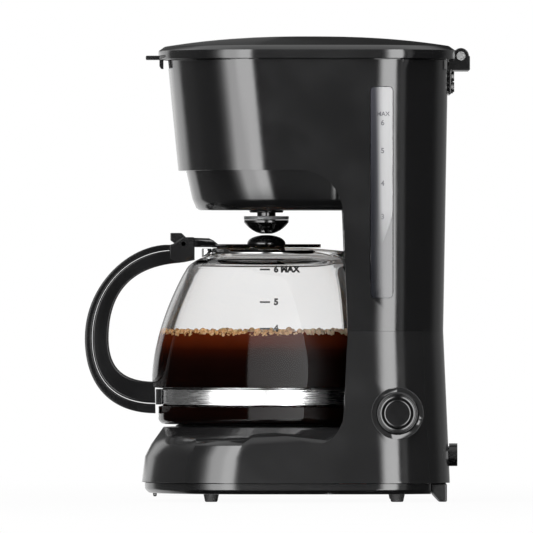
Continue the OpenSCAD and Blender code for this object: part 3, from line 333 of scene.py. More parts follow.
def frosted_window(name):
    """Frosted gauge window with painted shade and light in its colour: smoky shade where the tower's side lies behind
    it, pale light where the water does.
    """
    low, high = (v * MM for v in edges_of("gauge_window"))
    material, tree, shader = finish(name, (0.6, 0.62, 0.65), 0.11)
    spot = tree.add("ShaderNodeSeparateXYZ", {0: tree.place()})
    across = tree.between(spot.outputs["Y"], low.y, high.y, smooth=False)
    up = tree.between(spot.outputs["Z"], low.z, high.z, smooth=False)
    # the smoky part's edge leans towards the rear further down
    edge = tree.math("MULTIPLY_ADD", up, -0.24, 0.52)
    body = tree.between(tree.math("SUBTRACT", across, edge), -0.13, 0.16)
    # the milky part ends in a curve low down
    curve = tree.math("POWER", tree.between(up, 0.44, 0.26, smooth=False), 1.6)
    milk = tree.between(tree.math("SUBTRACT", across, tree.math("MULTIPLY_ADD", curve, -0.5, 1.0)), 0.0, 0.05)
    # painted shade at the front and painted light at the rear, both lighter towards the top, and painted shade at the
    # rear low down below the curve
    painted_smoky_shade = tree.ramp(up, [(0.0, (0.008, 0.009, 0.013)), (0.5, (0.03, 0.031, 0.04)), (1.0, (0.08, 0.08, 0.095))])
    painted_light_greys = [(0.0, (0.02, 0.02, 0.024)), (0.25, (0.05, 0.05, 0.055))]
    painted_light_greys += [(0.42, (0.33, 0.33, 0.34)), (1.0, (0.42, 0.42, 0.43))]
    pale = tree.ramp(up, painted_light_greys)
    base = tree.blend(body, painted_smoky_shade, pale)
    base = tree.blend(milk, base, (0.035, 0.035, 0.04, 1))
    join(tree, base, shader, "Base Color")
    join(tree, tree.bump(tree.noise(1400, 2), 0.00001), shader, "Normal")
    return material


def tank_wall(name, shade):
    material, tree, shader = finish(name, shade, 0.3)
    shader.inputs["Transmission Weight"].default_value = 0.55
    smudged(tree, shader, 0.3, 0.08)
    join(tree, tree.bump(tree.noise(300, 2), 0.00003), shader, "Normal")
    return material


def printed_ink(name, shade):
    material, tree, shader = finish(name, shade, 0.5)
    mottled(tree, shader, shade, 900, 0.2)
    return material


MATERIALS = {}


def slot_finish(slot):
    """The material of a record slot, made once."""
    if slot not in MATERIALS:
        housing, carafe = bpy.context.scene.maker_housing, bpy.context.scene.maker_carafe
        makers = {
            "housing_plastic": lambda n: glossy_plastic(n, housing.upper, 0.12),
            "lower_plastic": lambda n: glossy_plastic(n, housing.lower, 0.14),
            "black_plastic": lambda n: glossy_plastic(n, housing.black, 0.13),
            "base_plastic": lambda n: glossy_plastic(n, (0.0145, 0.0145, 0.015), 0.16),
            "foot_rubber": lambda n: soft_rubber(n, (0.012, 0.012, 0.012)),
            "gasket_rubber": lambda n: soft_rubber(n, (0.03, 0.03, 0.031)),
            "seal_rubber": lambda n: milky_silicone(n, (0.42, 0.43, 0.44)),
            "hose_silicone": lambda n: milky_silicone(n, (0.72, 0.7, 0.64)),
            "tank_plastic": lambda n: tank_wall(n, (0.72, 0.76, 0.8)),
            "window_plastic": frosted_window,
            "white_plastic": lambda n: satin_plastic(n, (0.72, 0.72, 0.7), 0.5, 0.00001),
            "screw_steel": lambda n: metal(n, (0.4, 0.4, 0.39), 0.3),
            "dark_steel": lambda n: metal(n, (0.12, 0.12, 0.12), 0.35),
            "band_steel": lambda n: metal(n, (0.68, 0.68, 0.68), 0.25, (0.35, 0.35, 9), 300, 0.00003),
            "collar_steel": lambda n: metal(n, (0.2, 0.2, 0.2), 0.12, (0.4, 0.4, 6), 300),
            "pipe_aluminium": lambda n: metal(n, (0.74, 0.75, 0.77), 0.38),
            "plate_enamel": lambda n: plate_coating(n, (0.012, 0.012, 0.012)),
            "ceramic": lambda n: satin_plastic(n, (0.66, 0.6, 0.48), 0.6),
            "lead_insulation": lambda n: satin_plastic(n, (0.42, 0.03, 0.02), 0.45, 0.00001),
            "mesh_gold": lambda n: woven_metal(n, (0.66, 0.46, 0.14)),
            "jug_glass": lambda n: jug_glass(n, carafe.tint),
            "coffee_liquid": lambda n: coffee_liquid(n, list(carafe.coffee), list(carafe.rim_coffee), COFFEE_TOP * MM),
            "mark_ink": lambda n: printed_ink(n, (0.006, 0.006, 0.006)),
            "gauge_ink": lambda n: printed_ink(n, (0.09, 0.09, 0.1)),
        }
        MATERIALS[slot] = makers[slot](slot)
    return MATERIALS[slot]


# ---------- mesh building ----------
def new_piece(name, points, faces, smooth_angle=35.0):
    """A mesh object at the origin, smooth except along edges sharper than the angle."""
    mesh = bpy.data.meshes.new(name)
    mesh.from_pydata([tuple(p) for p in points], [], faces)
    bm = bmesh.new()
    bm.from_mesh(mesh)
    bmesh.ops.remove_doubles(bm, verts=bm.verts, dist=1e-7)
    bmesh.ops.recalc_face_normals(bm, faces=bm.faces)
    bm.to_mesh(mesh)
    bm.free()
    mesh.shade_smooth()
    mesh.set_sharp_from_angle(angle=math.radians(smooth_angle))
    piece = bpy.data.objects.new(name, mesh)
    bpy.context.scene.collection.objects.link(piece)
    return piece


def settle(piece, *nodes, material=None):
    """Gives a piece the finish, body and place of the CAD nodes that it stands for."""
    piece.data.materials.clear()
    piece.data.materials.append(material or slot_finish(SLOT_OF[nodes[0]]))
    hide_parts(*nodes)
    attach(piece, BODY_OF[nodes[0]])
    return piece


def add_to(piece, node, material=None):
    """A further detail on a node that stays or has its piece."""
    piece.data.materials.clear()
    piece.data.materials.append(material or slot_finish(SLOT_OF[node]))
    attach(piece, BODY_OF[node])
    return piece


def baked(piece):
    """The piece with its modifiers applied."""
    graph = bpy.context.evaluated_depsgraph_get()
    mesh = bpy.data.meshes.new_from_object(piece.evaluated_get(graph), depsgraph=graph)
    old = piece.data
    piece.modifiers.clear()
    piece.data = mesh
    bpy.data.meshes.remove(old)
    return piece


# a face counts as folded from this share and this area, in square metres, over its outline's
FOLD_SHARE = 0.002
FOLD_AREA = 1e-7
# turns that narrow the rounding step by step, then in all, and its smallest share
STEP_TURNS = 8
RELIEF_TURNS = 18
LEAST_ROUNDING = 0.1


def crossings(outline, normal):
    """Places where a flat outline crosses itself. A small one counts as a whole."""
    if len(outline) < 7:
        return [sum(outline, Vector()) / len(outline)]
    across = normal.orthogonal().normalized()
    up = normal.cross(across)
    flat = [Vector((p.dot(across), p.dot(up))) for p in outline]
    n, found = len(flat), []
    for i in range(n):
        a, b = flat[i], flat[(i + 1) % n]
        for j in range(i + 2, n - (i == 0)):
            c, d = flat[j], flat[(j + 1) % n]
            if min(c.x, d.x) > max(a.x, b.x) or max(c.x, d.x) < min(a.x, b.x):
                continue
            spot = intersect_line_line_2d(a, b, c, d)
            if spot:
                share = (spot - a).length / max((b - a).length, 1e-9)
                found.append(outline[i].lerp(outline[(i + 1) % n], share))
    return found or list(outline)


def folded(mesh, whole):
    """Places where a face has folded over, which shows as a fill larger than its outline holds.

    whole gives all corners of such a face instead.
    """
    mesh.calc_loop_triangles()
    filled = [0.0] * len(mesh.polygons)
    for part in mesh.loop_triangles:
        filled[part.polygon_index] += part.area
    spots = []
    for face in mesh.polygons:
        if filled[face.index] - face.area > max(FOLD_SHARE * face.area, FOLD_AREA):
            outline = [mesh.vertices[i].co.copy() for i in face.vertices]
            spots += outline if whole else crossings(outline, face.normal)
    return spots


def relieve(piece, radius):
    """Narrows the rounding, step by step, where there is no room for it between two edges.

    Where that isn't enough, the edges round a folded face stay sharp.
    """
    for turn in range(RELIEF_TURNS):
        whole = turn >= STEP_TURNS
        reach = (1.6 if whole else 1.6 + 0.4 * turn) * radius
        graph = bpy.context.evaluated_depsgraph_get()
        spots = folded(piece.evaluated_get(graph).data, whole)
        if not spots:
            return
        near = KDTree(len(spots))
        for i, spot in enumerate(spots):
            near.insert(spot, i)
        near.balance()
        bm = bmesh.new()
        bm.from_mesh(piece.data)
        weight = bm.edges.layers.float["bevel_weight_edge"]
        for edge in bm.edges:
            if edge[weight]:
                a, b = (v.co for v in edge.verts)
                steps = max(2, math.ceil((b - a).length / radius))
                if min(near.find(a.lerp(b, k / steps))[2] for k in range(steps + 1)) < reach:
                    edge[weight] = 0.0 if whole or edge[weight] < LEAST_ROUNDING else edge[weight] * 0.5
        bm.to_mesh(piece.data)
        bm.free()
        piece.data.update()


def round_edges(piece, radius, angle=30.0, segments=2, seams=(), seam_radius=0.0, ring=None):
    """Rounds the piece's edges and keeps its flat faces flat to the light.

    Edges at the seams' heights, and on a ring (y, z, radius) seen from the side, are rounded less.
    """
    bevel = piece.modifiers.new("edges", "BEVEL")
    bevel.width = radius
    bevel.segments = segments
    bevel.limit_method = "WEIGHT"
    bm = bmesh.new()
    bm.from_mesh(piece.data)
    weight = bm.edges.layers.float.new("bevel_weight_edge")
    for edge in bm.edges:
        if len(edge.link_faces) == 2 and edge.calc_face_angle(0) > math.radians(angle):
            heights = [v.co.z / MM for v in edge.verts]
            near = any(all(abs(h - seam) < 0.3 for h in heights) for seam in seams)
            if ring:
                y, z, r = ring
                spans = [math.hypot(v.co.y / MM - y, v.co.z / MM - z) for v in edge.verts]
                near = near or all(abs(span - r) < 0.3 for span in spans)
            edge[weight] = seam_radius / radius if near else 1.0
    bm.to_mesh(piece.data)
    bm.free()
    bevel.use_clamp_overlap = False
    bevel.harden_normals = False
    bevel.miter_outer = "MITER_ARC"
    relieve(piece, radius)
    flat = piece.modifiers.new("flats", "WEIGHTED_NORMAL")
    flat.keep_sharp = True
    return piece


SEAT_R = 14                    # round seat of the switch


def sliced(bm, heights):
    """Cuts the tower's upright faces along level lines, so their shading can follow the curve of its corners."""
    for height in heights:
        faces = [f for f in bm.faces if abs(f.normal.z) < 0.3 and f.calc_center_median().y > (BREW_Y + 30) * MM]
        parts = faces + list({e for f in faces for e in f.edges}) + list({v for f in faces for v in f.verts})
        bmesh.ops.bisect_plane(bm, geom=parts, dist=1e-6, plane_co=(0, 0, height * MM), plane_no=(0, 0, 1))


def skin(node, name, radius, angle=30.0, segments=2, seams=(), seam_radius=0.0, levels=(), ring=None):
    """A merged copy of a CAD node with its flat triangles joined and its edges rounded."""
    bm = bmesh.new()
    bm.from_mesh(NODES[node].data)
    bmesh.ops.remove_doubles(bm, verts=bm.verts, dist=2e-6)
    bmesh.ops.dissolve_limit(bm, angle_limit=math.radians(0.4), verts=bm.verts, edges=bm.edges)
    sliced(bm, levels)
    mesh = bpy.data.meshes.new(name)
    bm.to_mesh(mesh)
    bm.free()
    mesh.shade_smooth()
    if not radius:
        mesh.set_sharp_from_angle(angle=math.radians(angle))
    piece = bpy.data.objects.new(name, mesh)
    bpy.context.scene.collection.objects.link(piece)
    if radius:
        round_edges(piece, radius, angle, segments, seams, seam_radius, ring)
    return piece


def true_normals(piece, surface):
    """Gives corners that lie on a known surface that surface's own direction, so its curves shade smoothly."""
    mesh = baked(piece).data
    normals = [Vector(n.vector) for n in mesh.corner_normals]
    for face in mesh.polygons:
        for corner in face.loop_indices:
            p = mesh.vertices[mesh.loops[corner].vertex_index].co
            known = surface(p.x / MM, p.y / MM - BREW_Y, p.z / MM)
            if known and face.normal.dot(known) > 0.5:
                normals[corner] = known
    mesh.normals_split_custom_set(normals)
    return piece


def arc(cx, cy, r, a0, a1, steps, first=0):
    """Points along an arc, in degrees."""
    turns = [math.radians(a0 + (a1 - a0) * i / steps) for i in range(first, steps + 1)]
    return [(cx + r * math.cos(a), cy + r * math.sin(a)) for a in turns]


def rounded(points, radius, steps=4, closed=False):
    """A chain of points with its corners rounded. radius is one number or one per point."""
    count = len(points)
    radii = [radius] * count if isinstance(radius, (int, float)) else radius
    out = []
    for i, p in enumerate(points):
        if not closed and i in (0, count - 1) or not radii[i]:
            out.append(p)
            continue
        p, a, b = Vector(p), Vector(points[i - 1]), Vector(points[(i + 1) % count])
        to_a, to_b = (a - p), (b - p)
        half = to_a.angle(to_b) / 2
        reach = min(radii[i] / math.tan(half), to_a.length * 0.49, to_b.length * 0.49)
        start, end = p + to_a.normalized() * reach, p + to_b.normalized() * reach
        for k in range(steps + 1):
            t = k / steps
            out.append(tuple(start * (1 - t) ** 2 + p * 2 * t * (1 - t) + end * t**2))
    return out


def bezier(a, b, c, d, steps, first=0):
    """Points along a cubic curve."""
    out = []
    for i in range(first, steps + 1):
        t = i / steps
        s = 1 - t
        weights = (s**3, 3 * s * s * t, 3 * s * t * t, t**3)
        out.append(tuple(sum(w * p[k] for w, p in zip(weights, (a, b, c, d))) for k in (0, 1)))
    return out


def lathe(profile, steps=144, shape=None):
    """Points and faces of (radius, z) points turned about the brew axis. shape bends (radius, z, angle)."""
    points, faces = [], []
    bend = shape or (lambda r, z, a: (r, z))
    for i in range(steps):
        a = 2 * math.pi * i / steps
        for r, z in profile:
            r2, z2 = bend(r, z, a)
            points.append(at(r2 * math.sin(a), r2 * math.cos(a), z2))
    n = len(profile)
    for i in range(steps):
        j = (i + 1) % steps
        for k in range(n - 1):
            faces.append((i * n + k, j * n + k, j * n + k + 1, i * n + k + 1))
    return points, faces


def turned_x(profile, centre_y, centre_z, steps=72):
    """Points and faces of (radius, x) points turned about an axis along X."""
    points, faces = [], []
    for i in range(steps):
        a = 2 * math.pi * i / steps
        for r, x in profile:
            points.append(at(x, centre_y + r * math.sin(a), centre_z + r * math.cos(a)))
    n = len(profile)
    for i in range(steps):
        j = (i + 1) % steps
        for k in range(n - 1):
            faces.append((i * n + k, j * n + k, j * n + k + 1, i * n + k + 1))
    return points, faces


def loft(rings, cap_first=True, cap_last=True):
    """Points and faces through closed rings of equal length."""
    points = [p for ring in rings for p in ring]
    n, faces = len(rings[0]), []
    for r in range(len(rings) - 1):
        for k in range(n):
            m = (k + 1) % n
            faces.append((r * n + k, r * n + m, (r + 1) * n + m, (r + 1) * n + k))
    if cap_first:
        faces.append(tuple(range(n - 1, -1, -1)))
    if cap_last:
        faces.append(tuple(range((len(rings) - 1) * n, len(rings) * n)))
    return points, faces


def plan(half, front, rear, bow, front_r, rear_r, inset=0.0, steps=18):
    """Outline with a bowed front, straight sides and round rear corners, in millimetres."""
    inner = half - front_r
    r = (inner * inner + bow * bow - front_r * front_r) / (2 * (bow - front_r))
    a = math.degrees(math.acos(inner / (r - front_r)))
    right = arc(0, r - front, r - inset, -90, -a, steps)
    right += arc(inner, bow - front, front_r - inset, -a, 0, steps, 1)
    right += arc(half - rear_r, rear - rear_r, rear_r - inset, 0, 90, steps)
    left = [(-x, y) for x, y in reversed(right)]
    return right + left[:-1]


def plan_direction(x, y, half, front, rear, bow, front_r, rear_r, near=0.06):
    """Outward direction (x, y) of the outline at a point on it, or nothing where the point is off it."""
    inner = half - front_r
    r = (inner * inner + bow * bow - front_r * front_r) / (2 * (bow - front_r))
    a = math.acos(inner / (r - front_r))
    ax, side = abs(x), math.copysign(1, x)
    if y > rear - rear_r and ax > half - rear_r:
        centre, radius = (half - rear_r, rear - rear_r), rear_r
    elif y > rear - rear_r / 2:
        return (0.0, 1.0) if abs(y - rear) < near else None
    elif y > bow - front:
        return (side, 0.0) if abs(ax - half) < near else None
    elif math.atan2(bow - front - y, ax - inner) < a:
        centre, radius = (inner, bow - front), front_r
    else:
        centre, radius = (0.0, r - front), r
    away = Vector((ax - centre[0], y - centre[1]))
    if abs(away.length - radius) > near:
        return None
    away.normalize()
    return away.x * side, away.y


def cut_away(piece, *corners):
    """Cuts boxes, each given by two corners in millimetres from the brew axis, out of the piece."""
    for low, high in corners:
        bpy.ops.mesh.primitive_cube_add(size=1)
        tool = bpy.context.object
        a, b = at(*low), at(*high)
        size = [abs(q - p) for p, q in zip(a, b)]
        tool.data.transform(Matrix.Translation((a + b) / 2) @ Matrix.Diagonal((*size, 1)))
        cut = piece.modifiers.new("cut", "BOOLEAN")
        cut.operation = "DIFFERENCE"
        cut.object = tool
        cut.solver = "EXACT"
        baked(piece)
        bpy.data.objects.remove(tool)
    return piece


def lettering(name, text, height, place, surface, bold=0.018):
    """Text as a thin mesh on the right-hand side. surface(y, z) gives x, all in millimetres."""
    curve = bpy.data.curves.new(name, "FONT")
    curve.body = text
    curve.size = height * 1.38
    curve.align_y = "CENTER"
    curve.offset = height * bold
    letters = bpy.data.objects.new(name, curve)
    bpy.context.scene.collection.objects.link(letters)
    graph = bpy.context.evaluated_depsgraph_get()
    mesh = bpy.data.meshes.new_from_object(letters.evaluated_get(graph), depsgraph=graph)
    bpy.data.objects.remove(letters)
    for vertex in mesh.vertices:
        y, z = place[0] + vertex.co.x, place[1] + vertex.co.y
        vertex.co = at(surface(y, z), y, z)
    piece = bpy.data.objects.new(name, mesh)
    bpy.context.scene.collection.objects.link(piece)
    return piece


def joined(name, pieces):
    """One object from several."""
    bm = bmesh.new()
    for piece in pieces:
        bm.from_mesh(piece.data)
        bpy.data.objects.remove(piece)
    mesh = bpy.data.meshes.new(name)
    bm.to_mesh(mesh)
    bm.free()
    whole = bpy.data.objects.new(name, mesh)
    bpy.context.scene.collection.objects.link(whole)
    return whole


# ---------- housings ----------
BASE_LOW, BASE_HIGH = edges_of("lower_housing")
BOWL_FRONT = 43.4
BOWL_HALF = 68.0
BOWL_STEPS_Z = 157.4
HALF = HEAD_HIGH.x
SEAM_Z = HEAD_LOW.z
SKIRT_Z = 178.8
HEAD_BOW = 49.1
BASE_BOW = 53.4
BOWL_BOW = 47.0
CORNER = 40.0
HEAD_LEAN = 5.9
REAR_SEAM = 95.5
# heights above the base's lower edge, with how far its front stands back there
BASE_STEPS = ((0, 0), (13.8, 1.6), (20.6, 5.1), (29.8, 11.7))
BOWL_STEPS = ((0, 7), (1.2, 5.4), (6, 3.3), (21.4, 0))


def lean_at(steps, height):
    """Set-back at a height from (height, set-back) steps, and its mean slope there."""
    for (h0, b0), (h1, b1) in zip(steps, steps[1:]):
        if height <= h1 + 0.01:
            break
    return b0 + (b1 - b0) * (height - h0) / (h1 - h0), (b1 - b0) / (h1 - h0)


def tilted(flat, rise):
    return Vector((flat[0], flat[1], rise)).normalized() if flat else None


def steadied(flat, y, rear, shift):
    """Direction at a rear corner, with the start of its curve moved back by a shift."""
    share = (y - rear + CORNER) / CORNER
    if not flat or share <= 0:
        return flat
    share = min(1.0, max(0.0, share - shift / CORNER * (1 - share) ** 2))
    return math.copysign(math.sqrt(1 - share * share), flat[0]), share


def upper_surface(x, y, z):
    lean = HEAD_LEAN / (HEAD_HIGH.z - SKIRT_Z)
    front = BREW_Y - HEAD_LOW.y - lean * (HEAD_HIGH.z - z)
    top = HEAD_HIGH.y - BREW_Y
    flare = (top - REAR_SEAM) / (HEAD_HIGH.z - SEAM_Z)
    rear = REAR_SEAM + flare * (z - SEAM_Z)
    flat = plan_direction(x, y, HALF, front, rear, HEAD_BOW, CORNER, CORNER, 0.65)
    flat = steadied(flat, y, rear, 3.8 * min(1.0, max(0.0, (205 - z) / 95)))
    return tilted(flat, -abs(flat[1]) * (lean if flat[1] < 0 else flare)) if flat else None


def lower_surface(x, y, z):
    height = z - BASE_LOW.z
    back, slope = lean_at(BASE_STEPS, height)
    bottom = BASE_HIGH.y - BREW_Y
    taper = (bottom - REAR_SEAM) / (SEAM_Z - BASE_LOW.z)
    rear = bottom - taper * height
    front = BREW_Y - BASE_LOW.y - back
    flat = plan_direction(x, y, HALF, front, rear, BASE_BOW, CORNER, CORNER, 0.4)
    flat = steadied(flat, y, rear, 1.0 + 2.8 * height / (SEAM_Z - BASE_LOW.z))
    if not flat or (flat[1] <= 0 and y < 0 and height > BASE_STEPS[2][0] - 0.5):
        return None
    return tilted(flat, abs(flat[1]) * (slope * 0.6 if flat[1] < 0 else taper))


def bowl_surface(x, y, z):
    back, slope = lean_at(BOWL_STEPS, z - BOWL_STEPS_Z)
    front = BOWL_FRONT - back
    flat = plan_direction(x, y, BOWL_HALF - back, front, 63.8, BOWL_BOW, CORNER, 30, 0.4)
    return tilted(flat, slope * 0.8) if flat and z < SKIRT_Z + 1 else None


class MAKER_OT_housings(bpy.types.Operator):
    """Upper and lower housing, brew bowl and hinge bracket, with rounded edges"""

    bl_idname = "maker.housings"
    bl_label = "Housings"

    def execute(self, context):
        housing = context.scene.maker_housing
        edge, seam = housing.edge, housing.seam
        levels = [SEAM_Z + 4.3 + 7.1 * k for k in range(20)]
        seams = (SEAM_Z, HEAD_HIGH.z)
        upper = skin("upper_housing", "upper_shell", edge * 1.3, seams=seams, seam_radius=seam, levels=levels)
        settle(true_normals(upper, upper_surface), "upper_housing")
        # the levels keep clear of the switch's round seat
        low, high = edges_of("switch_bezel")
        switch_y, switch_z = (low.y + high.y) / 2, (low.z + high.z) / 2
        levels = [switch_z + side * step for side in (-1, 1) for step in (3, 9, 18.5, 24.5, 30.5, 36.5)]
        seams, ring = (SEAM_Z, BASE_LOW.z), (switch_y, switch_z, SEAT_R)
        lower = skin("lower_housing", "lower_shell", edge, seams=seams, seam_radius=seam, levels=levels, ring=ring)
        settle(true_normals(lower, lower_surface), "lower_housing")
        bowl = skin("brew_bowl", "bowl_shell", edge * 0.75)
        settle(true_normals(bowl, bowl_surface), "brew_bowl")
        settle(skin("hinge_bracket", "hinge_ears", edge * 0.5), "hinge_bracket")
        return {"FINISHED"}


class MAKER_OT_underside(bpy.types.Operator):
    """Base plate, feet and heel"""

    bl_idname = "maker.underside"
    bl_label = "Underside"

    def execute(self, context):
        edge = context.scene.maker_housing.edge
        settle(skin("base_plate", "base_tray", edge * 0.8), "base_plate")
        settle(skin("heel_block", "heel", edge), "heel_block")
        settle(skin("rubber_feet", "feet", 0.0003), "rubber_feet")
        return {"FINISHED"}


# the lid's outline and crown, in millimetres
LID_FRONT = 58.5
LID_BOW = 54.0
LID_CORNERS = (43.0, 40.0)
LID_BAND = 5.0
LID_SLOPE = (7.2, 0.957)
LID_CROWN_POWER = 2.3
LID_WALL = 2.2
TAB = (12.0, 65.3, 2.3)


class MAKER_OT_top_lid(bpy.types.Operator):
    """Crowned lid with its rim, front tab, hook and hinge knuckles"""

    bl_idname = "maker.top_lid"
    bl_label = "Top lid"

    def execute(self, context):
        bracket_high = edges_of("hinge_bracket")[1]
        pin_low, pin_high = edges_of("hinge_pin")
        pin_y, pin_z = (pin_low.y + pin_high.y) / 2 - BREW_Y, (pin_low.z + pin_high.z) / 2
        half = LID_HIGH.x
        low = HEAD_HIGH.z + 0.4
        rise = LID_HIGH.z - low
        rear = 101.9
        middle = (rear - LID_FRONT) / 2

        def ring(height, scale, inset):
            outline = plan(half, LID_FRONT, rear, LID_BOW, *LID_CORNERS, inset)
            return [at(x * scale, middle + (y - middle) * scale, low + height) for x, y in outline]

        def crown(scale):
            top = LID_SLOPE[0]
            return top + (rise - top) * (1 - (scale / LID_SLOPE[1]) ** LID_CROWN_POWER)

        outside = [ring(0, 1, 0.5), ring(0.15, 1, 0.15), ring(0.5, 1, 0)]
        outside += [ring(LID_BAND - 0.6, 1, 0), ring(LID_BAND - 0.2, 0.9988, 0), ring(LID_BAND + 0.1, 0.995, 0)]
        outside += [ring(LID_SLOPE[0] - 0.3, 0.963, 0)]
        scales = [0.955, 0.93, 0.89, 0.84, 0.78, 0.7, 0.6, 0.5, 0.38, 0.25, 0.12]
        outside += [ring(crown(s), s, 0) for s in scales]
        inside = [ring(max(0, crown(s) - LID_WALL), s, 0) for s in reversed(scales)]
        inside += [ring(LID_BAND - 1, 0.97, 0), ring(0, 1, LID_WALL)]
        points, faces = loft(inside + outside, True, True)
        n = len(outside[0])
        faces = [f for f in faces if len(f) == 4]
        first, last = 0, (len(inside) + len(outside) - 1) * n
        faces += [tuple(range(first + n - 1, first - 1, -1)), tuple(range(last, last + n))]
        # the rim joins the inside's last ring to the outside's first, so the shell is closed at both crowns
        shell = new_piece("lid_crown", points, faces, 28)
        ear = bracket_high.x
        cut_away(shell, *[((s * (ear - 10.3), rear - 2.4, 0), (s * (ear + 1.6), rear + 20, 300)) for s in (1, -1)])
        settle(shell, "lid_shell")

        half_tab, reach, thick = TAB
        side = rounded(
            [(-reach, low), (-reach, low + thick), (-LID_FRONT + 3, low + thick), (-LID_FRONT + 3, low)], 0.7, 3, True
        )
        tab = self.bar("lid_tab", side, half_tab)
        hook = self.bar("lid_hook", rounded(
            [(-reach + 7.4, low + 1), (-reach + 7.4, low - 3.4), (-reach + 8.3, low - 4.9), (-reach + 9.5, low - 4.9),
             (-reach + 9.5, low + 1)], 0.4, 3, True), half_tab - 2)
        for piece in (tab, hook):
            round_edges(piece, 0.0004)
            add_to(piece, "lid_shell")
        for s in (1, -1):
            x0, x1 = sorted((s * 14, s * (ear - 10.3)))
            barrel = rounded([(1.6, x0), (4.3, x0), (4.3, x1), (1.6, x1)], 0.5, 3, True)
            knuckle = new_piece("lid_knuckle", *turned_x(barrel + barrel[:1], pin_y, pin_z, 48))
            add_to(knuckle, "lid_shell")
            web = [(rear - 3, pin_z - 1.6), (rear - 3, pin_z + 2.6)]
            web += [(pin_y - 1.8, pin_z + 3.6), (pin_y - 1.8, pin_z - 1.6)]
            plate = self.bar("lid_web", rounded(web, 0.4, 2, True), (x1 - x0) / 2, (x0 + x1) / 2)
            add_to(plate, "lid_shell")
        return {"FINISHED"}

    @staticmethod
    def bar(name, side, half, middle=0.0):
        rings = [[at(middle + x, y, z) for y, z in side] for x in (-half, half)]
        return new_piece(name, *loft(rings))


# ---------- gauge and switch ----------
GAUGE_TEXT = (("MAX", 208.9, 2.4), ("6", 204.1, 2.9), ("5", 189.1, 2.9), ("4", 171.5, 2.9), ("3", 153.6, 2.9))
GAUGE_TEXT_Y = 62.5
TOWER_CORNER = 40.0


class MAKER_OT_gauge(bpy.types.Operator):
    """Frosted gauge window with its numbers"""

    bl_idname = "maker.gauge"
    bl_label = "Water gauge"

    def execute(self, context):
        levels = [SEAM_Z + 4.3 + 7.1 * k for k in range(20)]
        window = skin("gauge_window", "gauge_glass", 0.0002, 40, levels=levels)
        settle(true_normals(window, upper_surface), "gauge_window")
        low, high = edges_of("upper_housing")

        def wall(y, z):
            share = (z - low.z) / (high.z - low.z)
            rear = 95.5 + (98.1 - 95.5) * share
            past = max(0.0, y - (rear - TOWER_CORNER))
            return high.x - 0.28 - (TOWER_CORNER - math.sqrt(TOWER_CORNER**2 - past**2))

        letters = []
        for text, z, height in GAUGE_TEXT:
            wide = height * 0.36 * len(text) * (1.25 if len(text) > 1 else 0.9)
            letters.append(lettering("mark", text, height, (GAUGE_TEXT_Y - wide, z), wall))
        settle(joined("gauge_numbers", letters), "gauge_marks")
        return {"FINISHED"}


class MAKER_OT_switch(bpy.types.Operator):
    """Round push button in its ring"""

    bl_idname = "maker.switch"
    bl_label = "Switch"

    def execute(self, context):
        low, high = edges_of("switch_bezel")
        y, z = (low.y + high.y) / 2 - BREW_Y, (low.z + high.z) / 2
        face, outer = high.x, (high.y - low.y) / 2
        seat = face - 1.5
        ring = [(outer, seat), (outer, face - 0.8), (outer - 0.9, face), (outer - 2.0, face), (8.4 + 1.1, face - 0.9),
                (8.4, face - 1.1), (8.4, low.x), (outer - 1.6, low.x), (outer - 1.6, seat), (outer, seat)]
        bezel = new_piece("switch_ring", *turned_x(rounded(ring, 0.35, 3), y, z, 96), 40)
        settle(bezel, "switch_bezel")
        low, high = edges_of("power_button")
        face, r = high.x, (high.y - low.y) / 2
        dish = [(0.0, face - 0.5)] + [(r * 0.86 * k / 6, face - 0.5 + 0.1 * (k / 6) ** 2.2) for k in range(1, 7)]
        cap = dish + rounded([(r * 0.9, face), (r, face - 0.1), (r, face - 6)], 0.45, 4)
        cap += [(2.2, face - 6), (2.2, low.x), (0.0, low.x)]
        button = new_piece("round_button", *turned_x(cap, y, z, 96), 40)
        settle(button, "power_button")
        return {"FINISHED"}


# ---------- carafe ----------
JUG_R = JUG_HIGH.x
WAIST_R = BAND_HIGH.x - 0.8
BELLY_Z = 65.6
SHOULDER = (43.4, 125.8)
NECK_R = 29.4
SPOUT_TIP = 43.0
SPOUT_HALF = 24.0


def belly(z):
    """Outer radius of the jug between its widest place and its shoulder."""
    return JUG_R - (JUG_R - SHOULDER[0]) * ((z - BELLY_Z) / (SHOULDER[1] - BELLY_Z)) ** 1.79


def jug_side(inset):
    """Side of the jug from under its foot to its rim, inset from its outer face."""
    foot, floor, rim = JUG_R - 3.5 - inset, JUG_LOW.z + inset, JUG_HIGH.z
    corner = 3.2 - inset * 0.5
    low = [(0.0, floor + 0.8), (foot - 16, floor + 0.7), (foot - 9, floor)]
    low += arc(foot - corner, floor + corner, corner, -90, 0, 6)
    thin = inset * 0.45
    waist = [
        (foot, BAND_LOW.z - 0.9 - thin), (WAIST_R - inset, BAND_LOW.z - 0.4 - thin), (WAIST_R - inset, BAND_HIGH.z + 0.4 + thin),
        (JUG_R - 0.3 - inset, BAND_HIGH.z + 0.9 + thin),
    ]
    side = [(belly(z) - inset, z) for z in [BELLY_Z + (SHOULDER[1] - 3 - BELLY_Z) * k / 20 for k in range(21)]]
    bend = (36 - inset, 131.2 - inset * 0.6)
    top = bezier((43.9 - inset, 124.6), (42.6 - inset, 127.6), (39.8 - inset, 129.4 - inset * 0.5), bend, 6)
    neck = (NECK_R - inset, 133.2 - inset * 0.4), (NECK_R - inset, rim - 1.6)
    top += bezier(bend, (32.6 - inset, 132.8 - inset * 0.6), *neck, 5, 1)
    return low + rounded([low[-1]] + waist + [side[0]], 0.55, 3)[1:-1] + side + top


